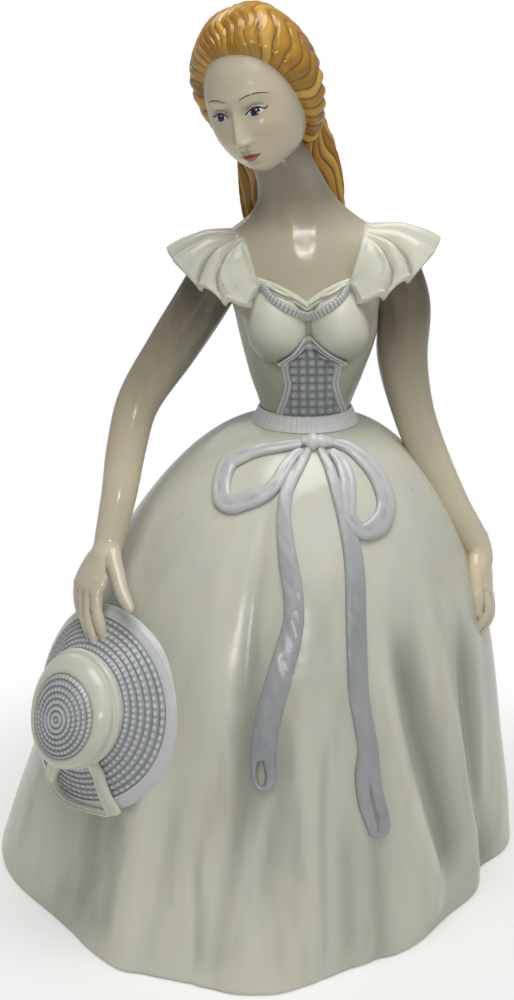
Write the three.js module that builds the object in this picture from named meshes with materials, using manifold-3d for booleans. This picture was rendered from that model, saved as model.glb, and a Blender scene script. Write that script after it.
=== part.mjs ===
// A glazed porcelain lady in a wide fluted skirt, a straw hat held at her side. She is made of
// the pieces that a figure maker casts or models apart and joins with slip.
// Millimetres, +Z up. She faces -Y, and the middle of the skirt's foot is the origin.
import * as THREE from "three";
import { mergeVertices } from "three/addons/utils/BufferGeometryUtils.js";
import Module from "manifold-3d";

const wasm = await Module();
wasm.setup();

// Driving dimensions. An azimuth is in degrees from her front towards +X.
const seam = 0.3; // gap left for the slip between two joined pieces

const skirtHeight = 155;
const skirtWall = 4.5;
const hemHalfWidth = 90.3;
const hemHalfDepth = 85.3;
const waistAside = 14.8; // the waist stands this far to her left of the hem's middle
const skirtFullness = [
  // share of the height, share of the way from the waist's width to the hem's
  [0, 1],
  [0.13, 0.936],
  [0.26, 0.867],
  [0.42, 0.784],
  [0.58, 0.684],
  [0.725, 0.553],
  [0.83, 0.427],
  [0.905, 0.308],
  [0.957, 0.195],
  [0.99, 0.085],
  [1, 0],
];
const fluteFade = 1.6; // how soon the flutes die out above the hem
const flutes = [
  // azimuth of the valley, its depth at the hem, its spread in degrees
  [-52.5, 7.5, 20],
  [-17, 3.4, 9],
  [21.5, 6.9, 14],
  [52, 10.6, 20],
  [75, 6.5, 9],
  [112, 3, 9],
  [143, 4.5, 10],
  [176, 4, 9],
  [-151, 4.5, 9],
  [-118, 4, 9],
];

const clothThick = 0.9; // the dress stands this far off her body
const bodiceWall = 3.6;
const boreHalfWidth = 12.5; // the bodice is cast thick, with this much left open at most
const waistHalfWidth = 13;
const waistHalfDepth = 10.4;
const ribHalfWidth = 20.3;
const ribHalfDepth = 13.2;
const shoulderHalfWidth = 27;
const shoulderHeight = 55.5; // above the waist
const neckHalfWidth = 10;
const neckLength = 36.5; // from the shoulders up to its top inside the head
const notchHeight = 40; // the neckline's notch above the waist
const necklineRise = 7; // from the notch to the shoulders
const plugDepth = 12; // how far the neck piece reaches down into the bodice
const neckTop = shoulderHeight + neckLength;
const torsoRows = [
  // height above the waist, half width, half depth, sideways from the skirt's top, backwards
  [0, waistHalfWidth, waistHalfDepth, 0.4, 0],
  [shoulderHeight * 0.09, waistHalfWidth + 0.2, waistHalfDepth + 0.3, 0.4, 0],
  [shoulderHeight * 0.27, waistHalfWidth + 3.6, waistHalfDepth + 1.6, 0.6, 0],
  [shoulderHeight * 0.505, ribHalfWidth, ribHalfDepth, 1, 0],
  [shoulderHeight * 0.685, ribHalfWidth + 1.6, ribHalfDepth + 0.2, 0.2, 0.5],
  [shoulderHeight * 0.9, shoulderHalfWidth - 1, ribHalfDepth - 0.8, -0.6, 1.5],
  [shoulderHeight, shoulderHalfWidth, ribHalfDepth - 1.4, -0.7, 2],
  [shoulderHeight + neckLength * 0.11, shoulderHalfWidth - 4, ribHalfDepth - 1.8, -0.7, 2.4],
  [shoulderHeight + neckLength * 0.205, neckHalfWidth + 7, ribHalfDepth - 2.4, -0.8, 2.4],
  [shoulderHeight + neckLength * 0.385, neckHalfWidth + 1.6, neckHalfWidth, -2.8, 1.6],
  [shoulderHeight + neckLength * 0.59, neckHalfWidth, neckHalfWidth - 0.4, -5.6, 0.8],
  [shoulderHeight + neckLength * 0.78, neckHalfWidth - 0.8, neckHalfWidth - 0.8, -8.8, 1],
  [neckTop, neckHalfWidth - 2, neckHalfWidth - 1.6, -11.4, 2],
];

const cupAside = 9.4;
const cupForward = 9.6;
const cupUp = 31.5;
const cupHalfWidth = 9.4;
const cupReach = 11.6;
const cupAbove = 13; // its upper half is longer and flows into the shoulders
const cupBelow = 10;
const cupCrease = 1; // how softly it joins the body below
const cupFlow = 3; // and how much softer above

const bandHeight = 4.6;
const bandThick = 0.7;
const bandFlare = 1.2; // its foot spreads this much
const bandFoot = clothThick + seam + bandThick + bandFlare; // its foot, out from the body
const skirtTopHalfWidth = waistHalfWidth + bandFoot + 0.3;
const skirtTopHalfDepth = waistHalfDepth + bandFoot - 0.3;
const drainHalfWidth = waistHalfWidth - 4.6; // the way from the skirt's hollow to the bodice's
const drainHalfDepth = waistHalfDepth - 4.4;

const headHalfWidth = 14.6;
const headHalfDepth = 16.6;
const headHalfHeight = 22;
const headAside = -15; // from the skirt's top
const headForward = 2.5;
const headUp = neckTop + 7.7;
const headTilt = -12.5; // towards her right shoulder
const headTurn = -24; // towards her right
const headNod = 6;
const jawNarrowing = 0.3; // share of the half width that is gone at the chin
const napeHollow = 0.45; // share of the half depth that is gone at the nape
const throatHollow = 0.08;
const noseTop = 1.5;
const noseFoot = -9.5;
const noseReach = 4;
const bridgeReach = 0.6;
const faceForms = [
  // across, up, half width, half height, how far it stands out
  [5.6, -1.2, 3.4, 2.4, -1.5], // eye sockets
  [5.8, -1.4, 2.2, 1.3, 0.9], // eyes
  [5, 3, 4.5, 1.6, 0.5], // brows
  [7.2, -8, 3.4, 4, 0.7], // cheeks
  [0, -13.6, 3.2, 1.7, 1], // lips
  [0, -18.6, 3.6, 2, 1], // chin
];
const hairThick = 2.9;
const hairRoll = 1.5; // the rolled sides stand this much higher
const hairPuff = 1.6; // and the swell above her left temple
const hairlineTop = 44; // degrees from the way the face looks
const hairlineDrop = 62; // further round at the ears
const hairlineNape = 12;

const armRadius = 8.4;
const elbowRadius = 6.5;
const wristRadius = 4.6;
const palmLength = 15;
const palmHalfWidth = 7.2;
const fingerRadius = 1.85;
const fingerLength = 17.5;

const hatRadius = 32;
const brimThick = 2.2;
const brimBend = 90; // the radius that the brim is bent to, round the skirt
const brimRise = 9; // from its edge up to the crown's foot
const crownRadius = 16.8;
const crownTaper = 4.2; // the crown's top is this much narrower all round
const crownTopRadius = crownRadius - crownTaper;
const crownHeight = 9.6;
const crownDome = 2.7;
const crownLean = 2.8; // its top hangs this much lower than its foot
const crownAside = 1.9; // and this much nearer her middle
const hatAzimuth = -52.5; // where it lies on the skirt
const hatDrop = 81; // its middle below the skirt's top
const hatFacing = -43.5; // the azimuth that the crown points to
const hatTilt = 20;
const gripAside = -9.7; // her right wrist, from the hat's middle
const gripAbove = 17.5; // and above its brim

const leftHandAzimuth = 86;
const leftHandHeight = 0.72; // share of the skirt's height
const leftTipsAzimuth = 78; // where its fingers point on the skirt
const leftTipsHeight = 0.555;

const sashThick = 1.7;
const sashOverlap = 0.3; // the loops stand this much higher than the tails

// Small helpers
const degrees = THREE.MathUtils.degToRad;
const bell = (away, spread) => Math.exp(-((away / spread) ** 2));

// A smooth function through [place, value] pairs.
function smooth(pairs) {
  const slope = pairs.map((_, i) => {
    const before = pairs[Math.max(i - 1, 0)];
    const after = pairs[Math.min(i + 1, pairs.length - 1)];
    return (after[1] - before[1]) / (after[0] - before[0]);
  });
  return (place) => {
    const last = pairs.length - 1;
    if (place <= pairs[0][0]) return pairs[0][1];
    if (place >= pairs[last][0]) return pairs[last][1];
    const i = pairs.findIndex((pair) => pair[0] > place) - 1;
    const span = pairs[i + 1][0] - pairs[i][0];
    const t = (place - pairs[i][0]) / span;
    const s = t * t * (3 - 2 * t);
    const bulge = t * (1 - t);
    return (
      pairs[i][1] * (1 - s) +
      pairs[i + 1][1] * s +
      span * bulge * ((1 - t) * slope[i] - t * slope[i + 1])
    );
  };
}

// Joins rings of points, in order, into one closed surface. A ring of one point is a tip,
// and a loop joins the last ring to the first.
function skin(rings, loop = false) {
  const position = [];
  const index = [];
  const first = [];
  for (const ring of rings) {
    first.push(position.length / 3);
    for (const point of ring) position.push(point.x, point.y, point.z);
  }
  const last = loop ? rings.length : rings.length - 1;
  for (let i = 0; i < last; i++) {
    const k = (i + 1) % rings.length;
    const count = Math.max(rings[i].length, rings[k].length);
    for (let j = 0; j < count; j++) {
      const next = (j + 1) % count;
      const low = (n) => first[i] + (rings[i].length === 1 ? 0 : n);
      const high = (n) => first[k] + (rings[k].length === 1 ? 0 : n);
      if (rings[i].length > 1) index.push(low(j), low(next), high(next));
      if (rings[k].length > 1) index.push(low(j), high(next), high(j));
    }
  }
  const geometry = new THREE.BufferGeometry();
  geometry.setAttribute("position", new THREE.Float32BufferAttribute(position, 3));
  geometry.setIndex(index);
  return geometry;
}

function ringOf(count, pointAt) {
  return Array.from({ length: count }, (_, i) => pointAt((i / count) * 2 * Math.PI));
}

function middleOf(ring) {
  const middle = new THREE.Vector3();
  for (const point of ring) middle.addScaledVector(point, 1 / ring.length);
  return [middle];
}

// A geometry as a solid for joining and cutting, turned right side out.
function solid(geometry) {
  const plain = geometry.clone();
  plain.deleteAttribute("normal");
  plain.deleteAttribute("uv");
  const merged = mergeVertices(plain, 1e-4);
  const { array } = merged.attributes.position;
  const corners = [];
  for (let i = 0; i < merged.index.count; i += 3) {
    const [a, b, c] = [0, 1, 2].map((k) => merged.index.getX(i + k));
    if (a !== b && b !== c && c !== a) corners.push(a, b, c);
  }
  let volume = 0;
  const [p, q, r] = [new THREE.Vector3(), new THREE.Vector3(), new THREE.Vector3()];
  for (let i = 0; i < corners.length; i += 3) {
    p.fromArray(array, corners[i] * 3);
    q.fromArray(array, corners[i + 1] * 3);
    r.fromArray(array, corners[i + 2] * 3);
    volume += p.dot(q.cross(r));
  }
  if (volume < 0) corners.reverse();
  return new wasm.Manifold(
    new wasm.Mesh({
      numProp: 3,
      vertProperties: new Float32Array(array),
      triVerts: new Uint32Array(corners),
    }),
  );
}

function join(solids) {
  return solids.reduce((whole, one) => whole.add(one));
}

// Cuts neighbours away and keeps the largest body that is left.
function cut(body, ...neighbours) {
  const left = neighbours.reduce((whole, one) => whole.subtract(one), body);
  const bodies = left.decompose();
  return bodies.reduce((most, one) => (one.volume() > most.volume() ? one : most));
}

// Cuts leave some very short edges. Their two ends become one where the surface stays closed.
function withoutSlivers(position, corners, shortest = 0.04) {
  const point = (i) => new THREE.Vector3().fromArray(position, i * 3);
  let triangles = [];
  for (let i = 0; i < corners.length; i += 3) triangles.push([...corners.slice(i, i + 3)]);
  for (;;) {
    const near = new Map();
    for (const [a, b, c] of triangles) {
      for (const [one, ...others] of [[a, b, c], [b, c, a], [c, a, b]]) {
        if (!near.has(one)) near.set(one, new Set());
        for (const other of others) near.get(one).add(other);
      }
    }
    const moved = new Map();
    const busy = new Set();
    for (const [a, around] of near) {
      for (const b of around) {
        if (b < a || busy.has(a) || busy.has(b)) continue;
        if (point(a).distanceTo(point(b)) > shortest) continue;
        const shared = [...around].filter((c) => near.get(b).has(c));
        if (shared.length !== 2) continue;
        moved.set(b, a);
        for (const c of [...around, ...near.get(b)]) busy.add(c);
      }
    }
    if (moved.size === 0) return triangles.flat();
    triangles = triangles
      .map((triangle) => triangle.map((i) => moved.get(i) ?? i))
      .filter(([a, b, c]) => a !== b && b !== c && c !== a);
  }
}

function geometryOf(body) {
  const { vertProperties, triVerts } = body.getMesh();
  const kept = withoutSlivers(vertProperties, triVerts);
  const place = new Map([...new Set(kept)].map((from, to) => [from, to]));
  const position = [...place.keys()].flatMap((i) => [...vertProperties.slice(i * 3, i * 3 + 3)]);
  const geometry = new THREE.BufferGeometry();
  geometry.setAttribute("position", new THREE.Float32BufferAttribute(position, 3));
  geometry.setIndex(kept.map((i) => place.get(i)));
  geometry.computeVertexNormals();
  return geometry;
}

// A body of changing oval section along a curve, closed by rounded ends. Facing is the
// direction that its thin way points in.
function limb(curve, { sides, rings, halfWidth, halfThick, facing, square = 1 }, grow = 0) {
  const section = (t, along, scale) => {
    const middle = curve.getPoint(t);
    const tangent = curve.getTangent(t);
    const side = new THREE.Vector3().crossVectors(tangent, facing(t)).normalize();
    const out = new THREE.Vector3().crossVectors(side, tangent);
    const shape = (value) => Math.sign(value) * Math.pow(Math.abs(value), square);
    const wide = (halfWidth(t) + grow) * scale;
    const thick = (halfThick(t) + grow) * scale;
    return ringOf(sides, (angle) =>
      middle
        .clone()
        .addScaledVector(tangent, along)
        .addScaledVector(side, wide * shape(Math.cos(angle)))
        .addScaledVector(out, thick * shape(Math.sin(angle))),
    );
  };
  const sections = [];
  const capSteps = 2;
  const cap = (t, way) => {
    const reach = halfThick(t) + grow;
    const steps = [section(t, way * reach, 0).slice(0, 1)];
    for (let k = 1; k <= capSteps; k++) {
      const angle = (k / (capSteps + 1)) * (Math.PI / 2);
      steps.push(section(t, way * reach * Math.cos(angle), Math.sin(angle)));
    }
    return steps;
  };
  sections.push(...cap(0, -1));
  for (let i = 0; i <= rings; i++) sections.push(section(i / rings, 0, 1));
  sections.push(...cap(1, 1).reverse());
  return skin(sections);
}

const root = new THREE.Group();
const glaze = (color, roughness) =>
  new THREE.MeshStandardMaterial({ color, roughness, metalness: 0 });
const creamGlaze = glaze(0xdcd9c9, 0.18);
const skinGlaze = glaze(0xd9cdb0, 0.2);
const sashGlaze = glaze(0xb4b9c1, 0.22);
const strawGlaze = glaze(0x8f97a1, 0.28);
const hairGlaze = glaze(0xc58a2c, 0.22);

function place(name, body, material, group = root) {
  const mesh = new THREE.Mesh(geometryOf(body), material);
  mesh.name = name;
  group.add(mesh);
}

// Moves a solid between the figure's frame and a group's own frame.
function into(group, body) {
  group.updateMatrixWorld(true);
  return body.transform(group.matrixWorld.clone().invert().toArray());
}

function outOf(group, body) {
  group.updateMatrixWorld(true);
  return body.transform(group.matrixWorld.toArray());
}

// Skirt
// A point of the skirt's outside. Each size grows alike, so a grown skirt clears the real one.
const fullnessAt = smooth(skirtFullness);
function skirtPoint(azimuth, height, grow = 0) {
  const t = THREE.MathUtils.clamp(height / (skirtHeight + grow), 0, 1);
  const full = fullnessAt(t);
  const wide = skirtTopHalfWidth + (hemHalfWidth - skirtTopHalfWidth) * full + grow;
  const deep = skirtTopHalfDepth + (hemHalfDepth - skirtTopHalfDepth) * full + grow;
  let valley = 0;
  for (const [at, depth, width] of flutes) {
    const away = THREE.MathUtils.euclideanModulo(azimuth - at + 180, 360) - 180;
    valley += depth * bell(away, width);
  }
  const drawn = 1 - (valley * Math.pow(1 - t, fluteFade)) / hemHalfDepth;
  const angle = degrees(azimuth);
  return new THREE.Vector3(
    waistAside * Math.pow(t, 0.95) + wide * drawn * Math.sin(angle),
    -deep * drawn * Math.cos(angle),
    height,
  );
}

function skirtNormal(azimuth, height) {
  const step = 0.5;
  const round = skirtPoint(azimuth + step, height).sub(skirtPoint(azimuth - step, height));
  const up = skirtPoint(azimuth, height + step).sub(skirtPoint(azimuth, height - step));
  return round.cross(up).normalize();
}

function onSkirt(azimuth, height, lift) {
  return skirtPoint(azimuth, height).addScaledVector(skirtNormal(azimuth, height), lift);
}

function skirtSolid(grow = 0) {
  const sides = 62;
  const rows = 12;
  const around = (pointAt) => ringOf(sides, (angle) => pointAt(THREE.MathUtils.radToDeg(angle)));
  const easeIn = (share) => 1 - Math.pow(1 - share, 1.7);
  const outside = [];
  for (let i = 0; i <= rows; i++) {
    const height = (skirtHeight + grow) * easeIn(i / rows);
    outside.push(around((azimuth) => skirtPoint(azimuth, height, grow)));
  }
  if (grow) {
    const foot = outside[0].map((point) => point.clone().setZ(-grow));
    return solid(skin([middleOf(foot), foot, ...outside, middleOf(outside.at(-1))]));
  }
  const insideRows = 4;
  const ceiling = skirtHeight - skirtWall;
  const mouth = (height) =>
    around((azimuth) => {
      const angle = degrees(azimuth);
      return new THREE.Vector3(
        waistAside + drainHalfWidth * Math.sin(angle),
        -drainHalfDepth * Math.cos(angle),
        height,
      );
    });
  const inside = [mouth(skirtHeight), mouth(ceiling + 0.5)];
  for (let i = insideRows; i >= 0; i--) {
    const share = easeIn(i / insideRows);
    const height = ceiling * share;
    inside.push(
      around((azimuth) => skirtPoint(azimuth, height * (skirtHeight / ceiling), -skirtWall).setZ(height)),
    );
  }
  return solid(skin([...outside, ...inside], true));
}

const skirt = skirtSolid();
const skirtCutter = skirtSolid(seam);
place("skirt", skirt, creamGlaze);

// Torso
const waistZ = skirtHeight;
const [halfWidthAt, halfDepthAt, asideAt, backAt] = [1, 2, 3, 4].map((column) =>
  smooth(torsoRows.map((row) => [row[0] + waistZ, row[column] + (column === 3 ? waistAside : 0)])),
);

function smoothMost(a, b, soft) {
  const near = Math.max(soft - Math.abs(a - b), 0) / soft;
  return Math.max(a, b) + (near * near * soft) / 4;
}

// How far a cup reaches from the torso's middle line, or zero where it isn't met.
function cupRadius(side, angle, z, grow) {
  const height = z > waistZ + cupUp ? cupAbove : cupBelow;
  const up = (z - waistZ - cupUp) / (height + grow);
  const share = Math.sqrt(Math.max(1 - up * up, 0));
  if (share === 0) return 0;
  const sx = Math.sin(angle) / ((cupHalfWidth + grow) * share);
  const sy = Math.cos(angle) / ((cupReach + grow) * share);
  const ox = (side * cupAside) / ((cupHalfWidth + grow) * share);
  const oy = cupForward / ((cupReach + grow) * share);
  const a = sx * sx + sy * sy;
  const b = sx * ox + sy * oy;
  const c = ox * ox + oy * oy - 1;
  const inner = b * b - a * c;
  return inner > 0 && b > 0 ? (b + Math.sqrt(inner)) / a : 0;
}

// A point of the body, its cloth and its cups, at an angle from her front and a height.
function torsoPoint(angle, z, { off = 0, cups = false, widest = Infinity } = {}) {
  const wide = Math.min(halfWidthAt(z) + off, widest);
  const deep = halfDepthAt(z) + off;
  let reach = 1 / Math.hypot(Math.sin(angle) / wide, Math.cos(angle) / deep);
  if (cups) {
    const soft = cupCrease + cupFlow * THREE.MathUtils.smoothstep(z - waistZ - cupUp, -2, 5);
    for (const side of [-1, 1]) {
      reach = smoothMost(reach, cupRadius(side, angle, z, off - clothThick), soft);
    }
  }
  return new THREE.Vector3(
    asideAt(z) + reach * Math.sin(angle),
    backAt(z) - reach * Math.cos(angle),
    z,
  );
}

function clothPoint(angle, z, lift = 0) {
  return torsoPoint(angle, z, { off: clothThick + lift, cups: true });
}

function necklineZ(angle) {
  const aside = Math.min(Math.abs(Math.sin(angle)) / 0.85, 1);
  const front = Math.cos(angle) > 0 ? aside : 1;
  return waistZ + notchHeight + necklineRise * Math.pow(front, 0.9);
}

const bodiceFoot = waistZ + seam;
function bodiceSolid(grow = 0) {
  const sides = 36;
  const rows = 11;
  const insideRows = 3;
  const rings = [];
  for (let i = 0; i <= rows; i++) {
    rings.push(
      ringOf(sides, (angle) => {
        const top = necklineZ(angle) + grow;
        const foot = bodiceFoot - grow;
        return clothPoint(angle, foot + (top - foot) * (i / rows), grow);
      }),
    );
  }
  for (let i = insideRows; i >= 0; i--) {
    rings.push(
      ringOf(sides, (angle) => {
        const top = necklineZ(angle) + grow;
        const foot = bodiceFoot - grow;
        const z = foot + (top - foot) * (i / insideRows);
        return torsoPoint(angle, z, { off: -bodiceWall - grow, widest: boreHalfWidth - grow });
      }),
    );
  }
  return solid(skin(rings, true));
}

const bodice = bodiceSolid();
const bodiceCutter = bodiceSolid(seam);
place("bodice", bodice, creamGlaze);

// Waistband, a low collar that stands on the skirt's top round the bodice's foot
function bandSolid(grow = 0) {
  const sides = 40;
  const foot = waistZ + seam - grow;
  const top = waistZ + seam + bandHeight + grow;
  const inner = clothThick + seam - grow;
  const outer = clothThick + seam + bandThick + grow;
  const rim = (z, off) => ringOf(sides, (angle) => torsoPoint(angle, z, { off }));
  const middle = (foot + top) / 2;
  const outside = [
    rim(foot, outer + bandFlare),
    rim(middle, outer + bandFlare * 0.3),
    rim(top, outer),
  ];
  return solid(skin([rim(foot, inner), ...outside, rim(top, inner)], true));
}
place("waistband", bandSolid(), sashGlaze);
const bandCutter = bandSolid(seam);

// Head
const head = new THREE.Group();
head.position.set(waistAside + headAside, -headForward, waistZ + headUp);
head.rotation.set(degrees(headNod), degrees(headTilt), degrees(headTurn), "YZX");
root.add(head);

// How far the features stand out of the plain face.
function featureAt(x, z) {
  let out = 0;
  if (z > noseFoot && z < noseTop) {
    const down = Math.min((noseTop - z) / (noseTop - noseFoot - 2), 1);
    out += bell(x, 1.3 + down) * (bridgeReach + (noseReach - bridgeReach) * down ** 1.6);
  }
  for (const [across, up, halfWidth, halfHeight, reach] of faceForms) {
    out += reach * bell(Math.abs(x) - across, halfWidth) * bell(z - up, halfHeight);
  }
  return out;
}

// A point of the bare head in its own frame, looking along -Y.
function headPoint(turn, rise, grow = 0) {
  const up = Math.sin(rise);
  const low = Math.max(-up, 0);
  const flat = Math.sqrt(1 - Math.abs(up) ** (up < 0 ? 3 : 2));
  const x = Math.sin(turn) * flat * (headHalfWidth + grow) * (1 - jawNarrowing * low ** 2.2);
  const frontness = Math.cos(turn) * flat;
  const back = frontness < 0 ? 1 - napeHollow * low ** 1.2 : 1 - throatHollow * low ** 2;
  const z = up * (headHalfHeight + grow);
  const y = -frontness * (headHalfDepth + grow) * back;
  const facing = Math.max(frontness, 0) ** 0.5;
  return new THREE.Vector3(x, y - featureAt(x, z) * facing, z);
}

function headSolid(grow = 0) {
  const sides = 26;
  const rows = 20;
  const rings = [[headPoint(0, -Math.PI / 2, grow)]];
  for (let i = 1; i < rows; i++) {
    const rise = -Math.PI / 2 + (i / rows) * Math.PI;
    rings.push(ringOf(sides, (turn) => headPoint(turn, rise, grow)));
  }
  rings.push([headPoint(0, Math.PI / 2, grow)]);
  return solid(skin(rings));
}
place("head", headSolid(), skinGlaze, head);
const headCutter = outOf(head, headSolid(seam));

// Neck and shoulders, a plug that stands in the bodice's mouth
const plugZ = waistZ + notchHeight - plugDepth;
const neckTopZ = waistZ + neckTop;
function neckSolid(grow = 0) {
  const sides = 28;
  const rows = 12;
  const rings = [];
  for (let i = 0; i <= rows; i++) {
    const z = plugZ - grow + (neckTopZ - plugZ + 2 * grow) * (i / rows);
    rings.push(ringOf(sides, (angle) => torsoPoint(angle, z, { off: grow })));
  }
  return solid(skin([middleOf(rings[0]), ...rings, middleOf(rings.at(-1))]));
}
place("neck_and_shoulders", cut(neckSolid(), bodiceCutter, headCutter), skinGlaze);
const neckCutter = neckSolid(seam);

// Hair, a cap swept back from the face. Polar is measured from the way the face looks, and
// round from straight up.
function hairPoint(polar, round, off) {
  const x = Math.sin(round) * Math.sin(polar);
  const z = Math.cos(round) * Math.sin(polar);
  const rise = Math.asin(THREE.MathUtils.clamp(z, -1, 1));
  const turn = Math.atan2(x, Math.cos(polar));
  const bare = headPoint(turn, rise);
  return bare.addScaledVector(bare.clone().normalize(), off);
}

function hairlineAt(round) {
  const down = (1 - Math.cos(round)) / 2;
  return degrees(hairlineTop + hairlineDrop * down + hairlineNape * down ** 4);
}

const hairLift = seam + 0.6;
function capSolid(grow = 0) {
  const sides = 28;
  const rows = 8;
  const polarAt = (round, share) => Math.PI - (Math.PI - hairlineAt(round) + grow / 15) * share;
  const rings = [[new THREE.Vector3()], ringOf(sides, (round) => hairPoint(polarAt(round, 1), round, 0))];
  for (let i = rows; i >= 1; i--) {
    const share = i / rows;
    const swell = Math.pow(1 - Math.pow(share, 7), 0.5);
    rings.push(
      ringOf(sides, (round) => {
        const wave = 0.4 * Math.sin(10 * round + 5 * share);
        const roll = hairRoll * Math.sin(round) ** 2 * bell(share - 0.8, 0.2);
        const puff = hairPuff * bell(round - 0.8, 0.6) * bell(share - 0.7, 0.3);
        const off = hairLift + (hairThick + roll + puff + wave) * swell + grow;
        return hairPoint(polarAt(round, share), round, off);
      }),
    );
  }
  rings.push([hairPoint(Math.PI, 0, hairLift + hairThick + grow)]);
  return solid(skin(rings));
}
const hairCap = cut(capSolid(), headSolid(seam), into(head, neckCutter));
place("hair_cap", hairCap, hairGlaze, head);
const capCutter = outOf(head, capSolid(seam));

// Long hair, hanging from the nape down her back
const fallTop = waistZ + headUp - 3.7;
const fallLength = 58;
const fallCurve = new THREE.CatmullRomCurve3(
  [
    // share of the length, sideways from the skirt's top, backwards from the neck's back
    [0, -9.8, 2],
    [0.26, -6.2, 5],
    [0.5, -3.8, 5.6],
    [0.74, -1.8, 6.4],
    [1, -0.5, 6.6],
  ].map(
    ([share, aside, back]) =>
      new THREE.Vector3(waistAside + aside, neckHalfWidth + back, fallTop - fallLength * share),
  ),
);
const fallShape = {
  sides: 14,
  rings: 9,
  halfWidth: smooth([[0, 12], [0.3, 15.5], [0.6, 15.5], [0.85, 11], [1, 5]]),
  halfThick: smooth([[0, 6], [0.4, 6.8], [0.8, 4.8], [1, 2.6]]),
  facing: () => new THREE.Vector3(0, 1, 0),
};
const fall = cut(solid(limb(fallCurve, fallShape)), headCutter, capCutter, neckCutter, bodiceCutter);
place("back_hair", fall, hairGlaze);
const fallCutter = solid(limb(fallCurve, fallShape, seam));

// Shoulder ruffles
const shoulderTilt = 0.037;
const ruffleDips = [0, 0.08, 0.2, 0.42, 0.58, 0.8, 0.92, 1]; // where its lobes meet, front to back
const ruffleReach = shoulderHalfWidth + 14; // outermost point from the torso's middle
const ruffleEnd = 16.4; // its two lower ends, from the torso's middle
const ruffleDrop = 12.9; // and below the shoulders
const ruffleInner = 13.4;
const ruffleEdge = 2.4;
const ruffleWave = 2.6;
const rufflePleat = 2.2;
const ruffleBack = 1.5;
function ruffleSection(side, share, lobe, grow) {
  const arch = Math.sin(Math.PI * share);
  const front = Math.cos(Math.PI * share);
  const middleX = asideAt(waistZ + shoulderHeight);
  const at = (aside, y, up) =>
    new THREE.Vector3(
      middleX + side * aside,
      ruffleBack - y * front,
      waistZ + shoulderHeight + up + side * aside * shoulderTilt,
    );
  const inner = at(ruffleInner + 4.6 * arch, ribHalfDepth + 0.2, 3 - ruffleDrop + 15 * arch);
  const spread = Math.pow(arch, 0.8);
  const outer = at(
    ruffleEnd + (ruffleReach - ruffleEnd) * spread - 1.8 * (1 - lobe) * arch,
    ribHalfDepth + 3.3,
    -ruffleDrop + 12.6 * Math.pow(arch, 1.3) + ruffleWave * (lobe - 0.5),
  );
  const crown = inner.clone().lerp(outer, 0.5);
  crown.z += 1.4 + rufflePleat * (lobe - 0.5) * Math.sqrt(arch);
  const under = outer.clone();
  under.z -= ruffleEdge;
  under.x -= side * 0.8;
  const armhole = at(16 + 8 * arch, ribHalfDepth - 3.2, -16 + 7 * arch);
  const back = at(13 + 4 * arch, ribHalfDepth - 2.2, -13.5 + 10 * arch);
  const ring = [inner, crown, outer, under, armhole, back];
  if (!grow) return ring;
  const [middle] = middleOf(ring);
  return ring.map((point) => {
    const away = point.clone().sub(middle);
    return point.addScaledVector(away.normalize(), grow * 1.6);
  });
}

function ruffleSolid(side, grow = 0) {
  const steps = 6;
  const rings = [ruffleSection(side, 0, 0, grow)];
  for (let i = 1; i < ruffleDips.length; i++) {
    for (let k = 1; k <= steps; k++) {
      const share = THREE.MathUtils.lerp(ruffleDips[i - 1], ruffleDips[i], k / steps);
      const lobe = Math.pow(Math.max(Math.sin((Math.PI * k) / steps), 0), 0.7);
      rings.push(ruffleSection(side, share, lobe, grow));
    }
  }
  return solid(skin([middleOf(rings[0]), ...rings, middleOf(rings.at(-1))]));
}
const sides = { right: -1, left: 1 };
const ruffleCutters = {};
for (const [hand, side] of Object.entries(sides)) {
  const ruffle = cut(ruffleSolid(side), bodiceCutter, neckCutter, fallCutter);
  place(`${hand}_shoulder_ruffle`, ruffle, creamGlaze);
  ruffleCutters[hand] = ruffleSolid(side, seam);
}

// Hat, laid against the skirt. Its group's +Z is the way its crown points.
const hat = new THREE.Group();
const hatOut = new THREE.Vector3(
  Math.sin(degrees(hatFacing)) * Math.cos(degrees(hatTilt)),
  -Math.cos(degrees(hatFacing)) * Math.cos(degrees(hatTilt)),
  Math.sin(degrees(hatTilt)),
);
const hatLevel = new THREE.Vector3(0, 0, 1).cross(hatOut).normalize();
const hatUp = hatOut.clone().cross(hatLevel);
hat.position.copy(onSkirt(hatAzimuth, skirtHeight - hatDrop, 1.5));
hat.quaternion.setFromRotationMatrix(new THREE.Matrix4().makeBasis(hatLevel, hatUp, hatOut));
root.add(hat);

const hatSides = 40;
// Bends a hat piece round the skirt, which stands behind it from side to side, and leans its
// crown over.
function bent(geometry) {
  const position = geometry.attributes.position;
  for (let i = 0; i < position.count; i++) {
    const [x, y, z] = [position.getX(i), position.getY(i), position.getZ(i)];
    const lean = (Math.max(z - brimRise, 0) / crownHeight) ** 1.5;
    const drop = (x * x) / (2 * brimBend);
    position.setXYZ(i, x + crownAside * lean, y - crownLean * lean, z - drop);
  }
  return geometry;
}

function turned(outline) {
  const profile = outline.map(([radius, height]) => new THREE.Vector2(radius, height));
  const geometry = new THREE.LatheGeometry(profile, hatSides);
  geometry.rotateX(Math.PI / 2);
  return bent(geometry);
}

function brimSolid(grow = 0) {
  return solid(
    turned([
      [0, -grow],
      [hatRadius - 1, -grow],
      [hatRadius + grow, brimThick / 2],
      [hatRadius - 1, brimThick + grow],
      [crownRadius + 1.4, brimRise + grow],
      [0, brimRise + grow],
    ]),
  );
}

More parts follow.
